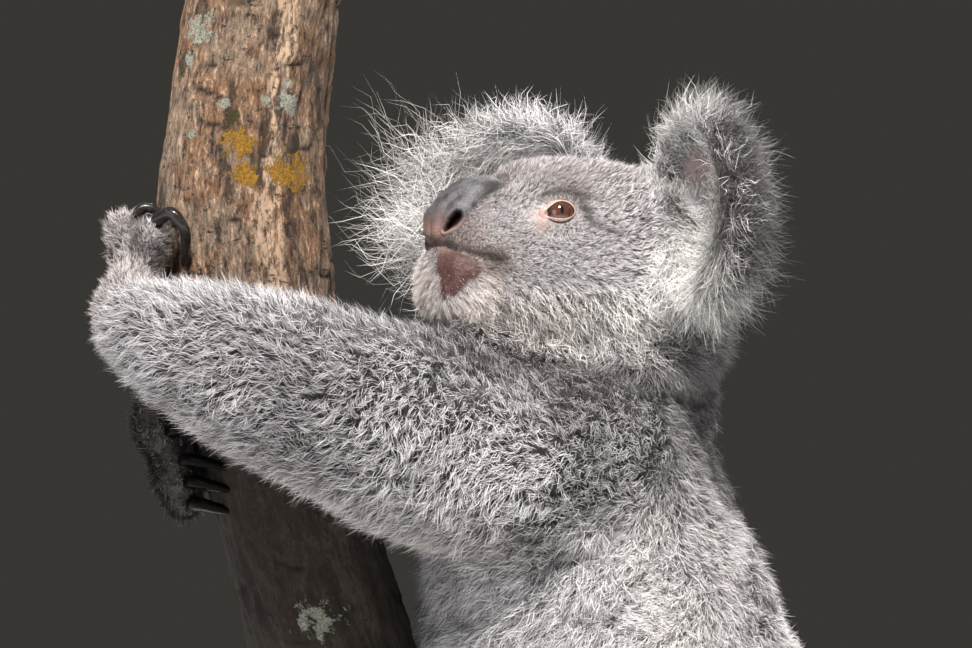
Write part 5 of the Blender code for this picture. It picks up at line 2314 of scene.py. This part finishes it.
    def _unwrap_hairs(
        self, thing: bpy.types.Object, uv: Array, rims: Array, along: Array, faces: Array,
    ) -> None:
        """Lays each hair in the small patch of the unwrap where its root stands.

        Args:
            thing: The piece.
            uv: Each root's place on the unwrap.
            rims: Which edge of its hair each vertex is on, per hair.
            along: How far along its hair each vertex is, per hair.
            faces: The triangles.
        """
        size = OFBAKE_SIZE
        low = uv.min(axis=0)
        spread = (uv - low) / max((uv.max(axis=0) - low).max(), 1e-6) * (1 - size)
        corner = np.floor(spread / size) * size
        place = corner[:, None, :] + size * (0.1 + 0.8 * np.stack([rims, along], axis=2))
        layer = thing.data.uv_layers.new(name="OFBake")
        layer.data.foreach_set("uv", place.reshape(-1, 2)[faces.ravel()].astype(np.float32).ravel())


@dataclass
class Eye:
    """One eyeball and its lids, in the head's own directions."""

    side: int
    centre: Place = (0.0370, 0.0374, 0.0127)
    look: Place = (0.35, 0.90, 0.25)
    radius: float = 0.0082
    half_width: float = 0.0066
    half_height: float = 0.0046

    def axes(self) -> Array:
        """The eye's own directions.

        Returns:
            Rows of across (towards the ear), up and outward, in the part's frame.
        """
        out = unit(np.array([self.look[0], self.look[1] * self.side, self.look[2]]))
        across = unit(np.cross(np.array([0, 0, 1.0]), out)) * self.side
        up = np.cross(out, across) * self.side
        return np.array([HEAD.turn(across), HEAD.turn(up), HEAD.turn(out)])

    def middle(self) -> Array:
        """The eyeball's centre in the part's frame."""
        return HEAD.world((self.centre[0], self.centre[1] * self.side, self.centre[2]))

    def name(self) -> str:
        """The side's word."""
        return "left" if self.side > 0 else "right"

    def build(self) -> None:
        """Builds the eyeball and the lids."""
        self._ball()
        self._lids()

    def _place(self, thing: bpy.types.Object, local: Array) -> None:
        """Puts local places into the part's frame.

        Args:
            thing: The object.
            local: Across, up and outward, from the eyeball's centre.
        """
        put_places(thing, local @ self.axes() + self.middle())
        with editing(thing):
            bpy.ops.mesh.normals_make_consistent(inside=False)
        bpy.ops.object.shade_smooth()
        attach(thing, "root")

    def _ball(self) -> None:
        """The eyeball: a ball with a slight bulge of the cornea."""
        deselect()
        bpy.ops.mesh.primitive_uv_sphere_add(segments=64, ring_count=40, radius=self.radius)
        ball = bpy.context.active_object
        ball.name = f"eyeball_{self.name()}"
        local = places_of(ball)
        front = step(0.55, 1.0, local[:, 2] / self.radius)
        local *= (1 + 0.05 * front)[:, None]
        write_mark(ball, "across", local[:, 0])
        write_mark(ball, "upward", local[:, 1])
        self._place(ball, local)
        give(ball, EyeFinish())
        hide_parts(f"eye_{self.name()}")
        report(ball)

    def _lids(self) -> None:
        """The lids: an almond ring whose inner edge lies on the eyeball."""
        deselect()
        bpy.ops.mesh.primitive_torus_add(
            major_segments=96, minor_segments=14, major_radius=1.0, minor_radius=0.25,
        )
        ring = bpy.context.active_object
        ring.name = f"lids_{self.name()}"
        local = places_of(ring)
        round_angle = np.arctan2(local[:, 1], local[:, 0])
        tube = np.arctan2(local[:, 2], np.hypot(local[:, 0], local[:, 1]) - 1.0)
        inward, over = -np.cos(tube), np.sin(tube)
        c, s = np.cos(round_angle), np.sin(round_angle)
        wide = self.half_width * (1 + 0.16 * bell(c + 1, 0.20))
        edge_x = wide * c
        edge_y = self.half_height * np.sign(s) * np.abs(s) ** 1.15 * np.where(s > 0, 1.0, 0.92)
        edge_y -= 0.0006 * step(0.2, 1.0, -c)
        outward = unit(np.stack([edge_x, edge_y * 1.15], axis=1))
        width = (0.00050 + 0.0003 * step(0.0, 1.0, s)) * (1 + 0.25 * np.sin(3 * round_angle + 0.8))
        width += 0.0012 * step(-0.70, -1.0, c)
        spread = (1 - inward) * width
        x, y = edge_x + outward[:, 0] * spread, edge_y + outward[:, 1] * spread
        flat = np.hypot(x, y)
        floor = np.sqrt(np.maximum((self.radius * 1.02) ** 2 - flat**2, (self.radius * 0.42) ** 2))
        thick = 0.00068 * (0.55 + 0.45 * step(-1.0, 0.6, inward)) * (1 + 0.25 * step(0.1, 0.9, s))
        z = floor + thick * (over + 0.35)
        write_mark(ring, "rim", step(0.80, 0.99, inward) * 0.85)
        write_mark(ring, "corner", step(-0.86, -0.98, c) * 1.0)
        self._place(ring, np.stack([x, y, z], axis=1))
        give(ring, LidFinish())
        report(ring)


@dataclass
class Claws:
    """All the claws, each a smooth copy of its CAD node."""

    fullness: float = 0.0010

    def build(self) -> None:
        """Copies and smooths each claw."""
        for node in sorted(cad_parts):
            if "_claw_" not in node:
                continue
            claw = copy_of(node, node + "_horn")
            fine = claw.modifiers.new("fine", "SUBSURF")
            fine.levels = fine.render_levels = 2
            swell_by(claw, self.fullness)
            apply_all(claw)
            bpy.ops.object.shade_smooth()
            # The far hand's claws take the shaded copy of the horn, a painted shadow.
            give(claw, SHADED_HORN if node.startswith("hand_right") else ClawFinish())
            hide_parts(node)
            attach(claw, "root")
            report(claw)


@dataclass
class Perch:
    """The cut length of stem: its bark in ridges and flakes, with lichens and moss."""

    line: Path = (
        (-0.0235, 0.092), (-0.056, 0.200), (-0.092, 0.310), (-0.129, 0.430), (-0.157, 0.525), (-0.171, 0.600),
        (-0.175, 0.655), (-0.1725, 0.705), (-0.166, 0.755), (-0.1595, 0.790),
    )
    radius: float = 0.043
    cell: float = 0.0020
    relief: float = 0.0016
    ochre: Path = ((-0.1760, 0.683, 0.011), (-0.150, 0.669, 0.0135), (-0.173, 0.668, 0.009))
    moss: Path = ((-0.179, 0.698, 0.007), (-0.205, 0.722, 0.004))
    lichen: Path = (
        (-0.196, 0.742, 0.009), (-0.151, 0.704, 0.007), (-0.161, 0.705, 0.004), (-0.183, 0.7035, 0.0035),
        (-0.202, 0.727, 0.0045), (-0.136, 0.446, 0.012), (-0.152, 0.714, 0.0035), (-0.200, 0.688, 0.003),
    )

    def build(self) -> None:
        """Copies the CAD stem, raises its bark and dresses it."""
        stem = copy_of("perch", "stem_bark")
        remesh(stem, self.cell, 1)
        at, normal = places_of(stem), normals_of(stem)
        line = np.array(self.line)
        middle = np.interp(at[:, 2], line[:, 1], line[:, 0])
        straight = at - np.stack([middle, np.zeros(len(at)), np.zeros(len(at))], axis=1)
        to_end = np.minimum(at[:, 2] - at[:, 2].min(), at[:, 2].max() - at[:, 2])
        cut = step(0.86, 0.96, np.abs(normal[:, 2])) * step(0.0035, 0.0015, to_end)
        ridges = Noise(SEED + 3).at(straight * np.array([1, 1, 0.20]), 0.011, 3)
        lumps = Noise(SEED + 4).at(straight, 0.045, 2)
        flakes = Noise(SEED + 5).at(straight * np.array([1, 1, 0.5]), 0.006, 2)
        cracks = self._cracks(straight)
        move = self.relief * (0.7 * ridges + 0.5 * lumps + 0.5 * flakes - 1.0 * cracks) - 0.0006
        put_places(stem, at + normal * (move * (1 - cut))[:, None])
        write_mark(stem, "straight", straight)
        write_mark(stem, "cut", cut)
        write_mark(stem, "crack", np.clip(cracks, 0, 1) * (1 - cut))
        bearing = np.degrees(np.arctan2(straight[:, 1], straight[:, 0]))
        drift = 14 * Noise(SEED + 8).at(straight, 0.09) - 62
        write_mark(stem, "strip", 0.60 * bell(bearing - drift, 17) + 0.5 * bell(bearing - 95, 20))
        # Painted shadow on the stem's lower part, under the animal.
        write_mark(stem, "damp", step(0.565, 0.505, at[:, 2]))
        for mark, spots in (("ochre", self.ochre), ("moss", self.moss), ("lichen", self.lichen)):
            write_mark(stem, mark, self._patches(at, normal, spots))
        give(stem, BarkFinish())
        take(stem)
        bpy.ops.object.shade_smooth()
        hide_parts("perch")
        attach(stem, "root")
        report(stem)

    def _cracks(self, straight: Array) -> Array:
        """Short cracks across the bark.

        Args:
            straight: The vertices' places, with the stem's lean taken out.

        Returns:
            How deep a crack is at each vertex, 0 to 1.
        """
        rng = np.random.default_rng(SEED + 6)
        turn = np.arctan2(straight[:, 1], straight[:, 0])
        depth = np.zeros(len(straight))
        for _ in range(90):
            z, angle = rng.uniform(0.1, 0.785), rng.uniform(-math.pi, math.pi)
            wide = rng.uniform(0.004, 0.014)
            across = ((turn - angle + math.pi) % (2 * math.pi) - math.pi) * self.radius
            tilt = rng.normal(0, 0.25)
            line = np.abs(straight[:, 2] - z - tilt * across)
            depth = np.maximum(depth, bell(line, 0.0011) * step(wide, wide * 0.6, np.abs(across)))
        return depth

    def _patches(self, at: Array, normal: Array, spots: tuple) -> Array:
        """How strongly a growth covers the bark, from its named places on the side and more round the back.

        Args:
            at: The vertices' places.
            normal: Their normals.
            spots: x, z and reach of each patch on the left side.

        Returns:
            A share per vertex.
        """
        cover = np.zeros(len(at))
        for x, z, reach in spots:
            gap = np.hypot(at[:, 0] - x, at[:, 2] - z) / reach
            cover = np.maximum(cover, bell(gap, 1) * step(0.0, -0.35, normal[:, 1]))
            back = np.hypot(at[:, 0] - x - 0.01, at[:, 2] - (z - 0.13)) / reach
            cover = np.maximum(cover, bell(back, 1) * step(0.1, 0.5, normal[:, 1]))
        return cover


@dataclass
class Stand:
    """The display stand's own finishes, on its CAD nodes."""

    def build(self) -> None:
        """Dresses the base in wood and the rod and flange in steel."""
        steel = SteelFinish()
        for node, finish in (("stand_base", BaseFinish()), ("stand_rod", steel), ("stand_flange", steel)):
            give(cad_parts[node], finish)
            report(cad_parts[node])


@dataclass
class Studio:
    """The pale floor, the plain dark backdrop, the soft lights and the long lens."""

    camera_at: Place = (-0.052, -4.050, 0.593)
    lens: float = 296.3
    backdrop: Colour = (0.040, 0.037, 0.033, 1)
    ambient: Colour = (0.17, 0.175, 0.19, 1)

    def build(self) -> None:
        """Sets out the floor, the lights, the world and the camera."""
        self._floor()
        self._light("key", (-0.30, -2.40, 3.60), 300.0, 0.5, (1.0, 0.965, 0.925))
        self._light("fill", (-2.6, -2.4, 1.2), 22.0, 2.0, (0.92, 0.95, 1.0))
        self._light("back", (0.8, 2.6, 2.4), 70.0, 1.2, (1.0, 0.98, 0.95))
        self._world()
        self._camera()
        bpy.context.scene.view_settings.view_transform = "Standard"

    def _floor(self) -> None:
        """A wide pale disc whose surface is the part's own floor level."""
        deselect()
        bpy.ops.mesh.primitive_circle_add(vertices=96, radius=6.0, fill_type="NGON", location=(0, 0, 0))
        floor = bpy.context.active_object
        floor.name = "floor"
        material, sheet, shader = new_material("floor_paper")
        cloud = sheet.noise(sheet.stretched(), 2.0, 3)
        sheet.feed(
            shader,
            Base_Color=sheet.blend(cloud, (0.66, 0.66, 0.65, 1), (0.72, 0.72, 0.71, 1)), Roughness=0.85,
        )
        floor.data.materials.append(material)

    def _light(self, name: str, place: Place, power: float, size: float, hue: Place) -> None:
        """Adds a soft light that faces the animal.

        Args:
            name: The light's name.
            place: Where it stands.
            power: Its power in watts.
            size: The side of its square.
            hue: Its colour.
        """
        data = bpy.data.lights.new(name, "AREA")
        data.energy, data.size, data.color = power, size, hue
        lamp = bpy.data.objects.new(name, data)
        lamp.location = place
        lamp.rotation_euler = (Vector((0.0, 0.0, 0.52)) - Vector(place)).to_track_quat("-Z", "Y").to_euler()
        bpy.context.scene.collection.objects.link(lamp)

    def _world(self) -> None:
        """A plain dark backdrop, and a soft even light that the camera doesn't see."""
        world = bpy.data.worlds.new("studio")
        world.use_nodes = True
        bpy.context.scene.world = world
        sheet = Sheet(world.node_tree)
        seen = sheet.add("ShaderNodeLightPath").outputs["Is Camera Ray"]
        colour = sheet.blend(seen, self.ambient, self.backdrop)
        sheet.set(world.node_tree.nodes["Background"], "Color", colour)

    def _camera(self) -> None:
        """A level long lens on the animal's left side."""
        data = bpy.data.cameras.new("camera")
        data.lens, data.sensor_width = self.lens, 36.0
        data.clip_end = 40.0
        camera = bpy.data.objects.new("camera", data)
        camera.location = self.camera_at
        camera.rotation_euler = (math.pi / 2, 0, 0)
        bpy.context.scene.collection.objects.link(camera)
        bpy.context.scene.camera = camera


def main() -> None:
    """Builds the studio, the stand, the stem and the animal, in order."""
    logging.basicConfig(level=logging.INFO, format="%(asctime)s %(message)s")
    deselect()
    Studio().build()
    Stand().build()
    Perch().build()
    Claws().build()
    for side in (1, -1):
        Eye(side).build()
    skin = Skin()
    skin.build()
    fields = Markings(skin).read()
    skin.dress(fields)
    for name in ("bare", "flush", "cleft", "leather"):
        del fields[name]
    Coat(skin, fields, 1.0).build()


if __name__ == "__main__":
    main()
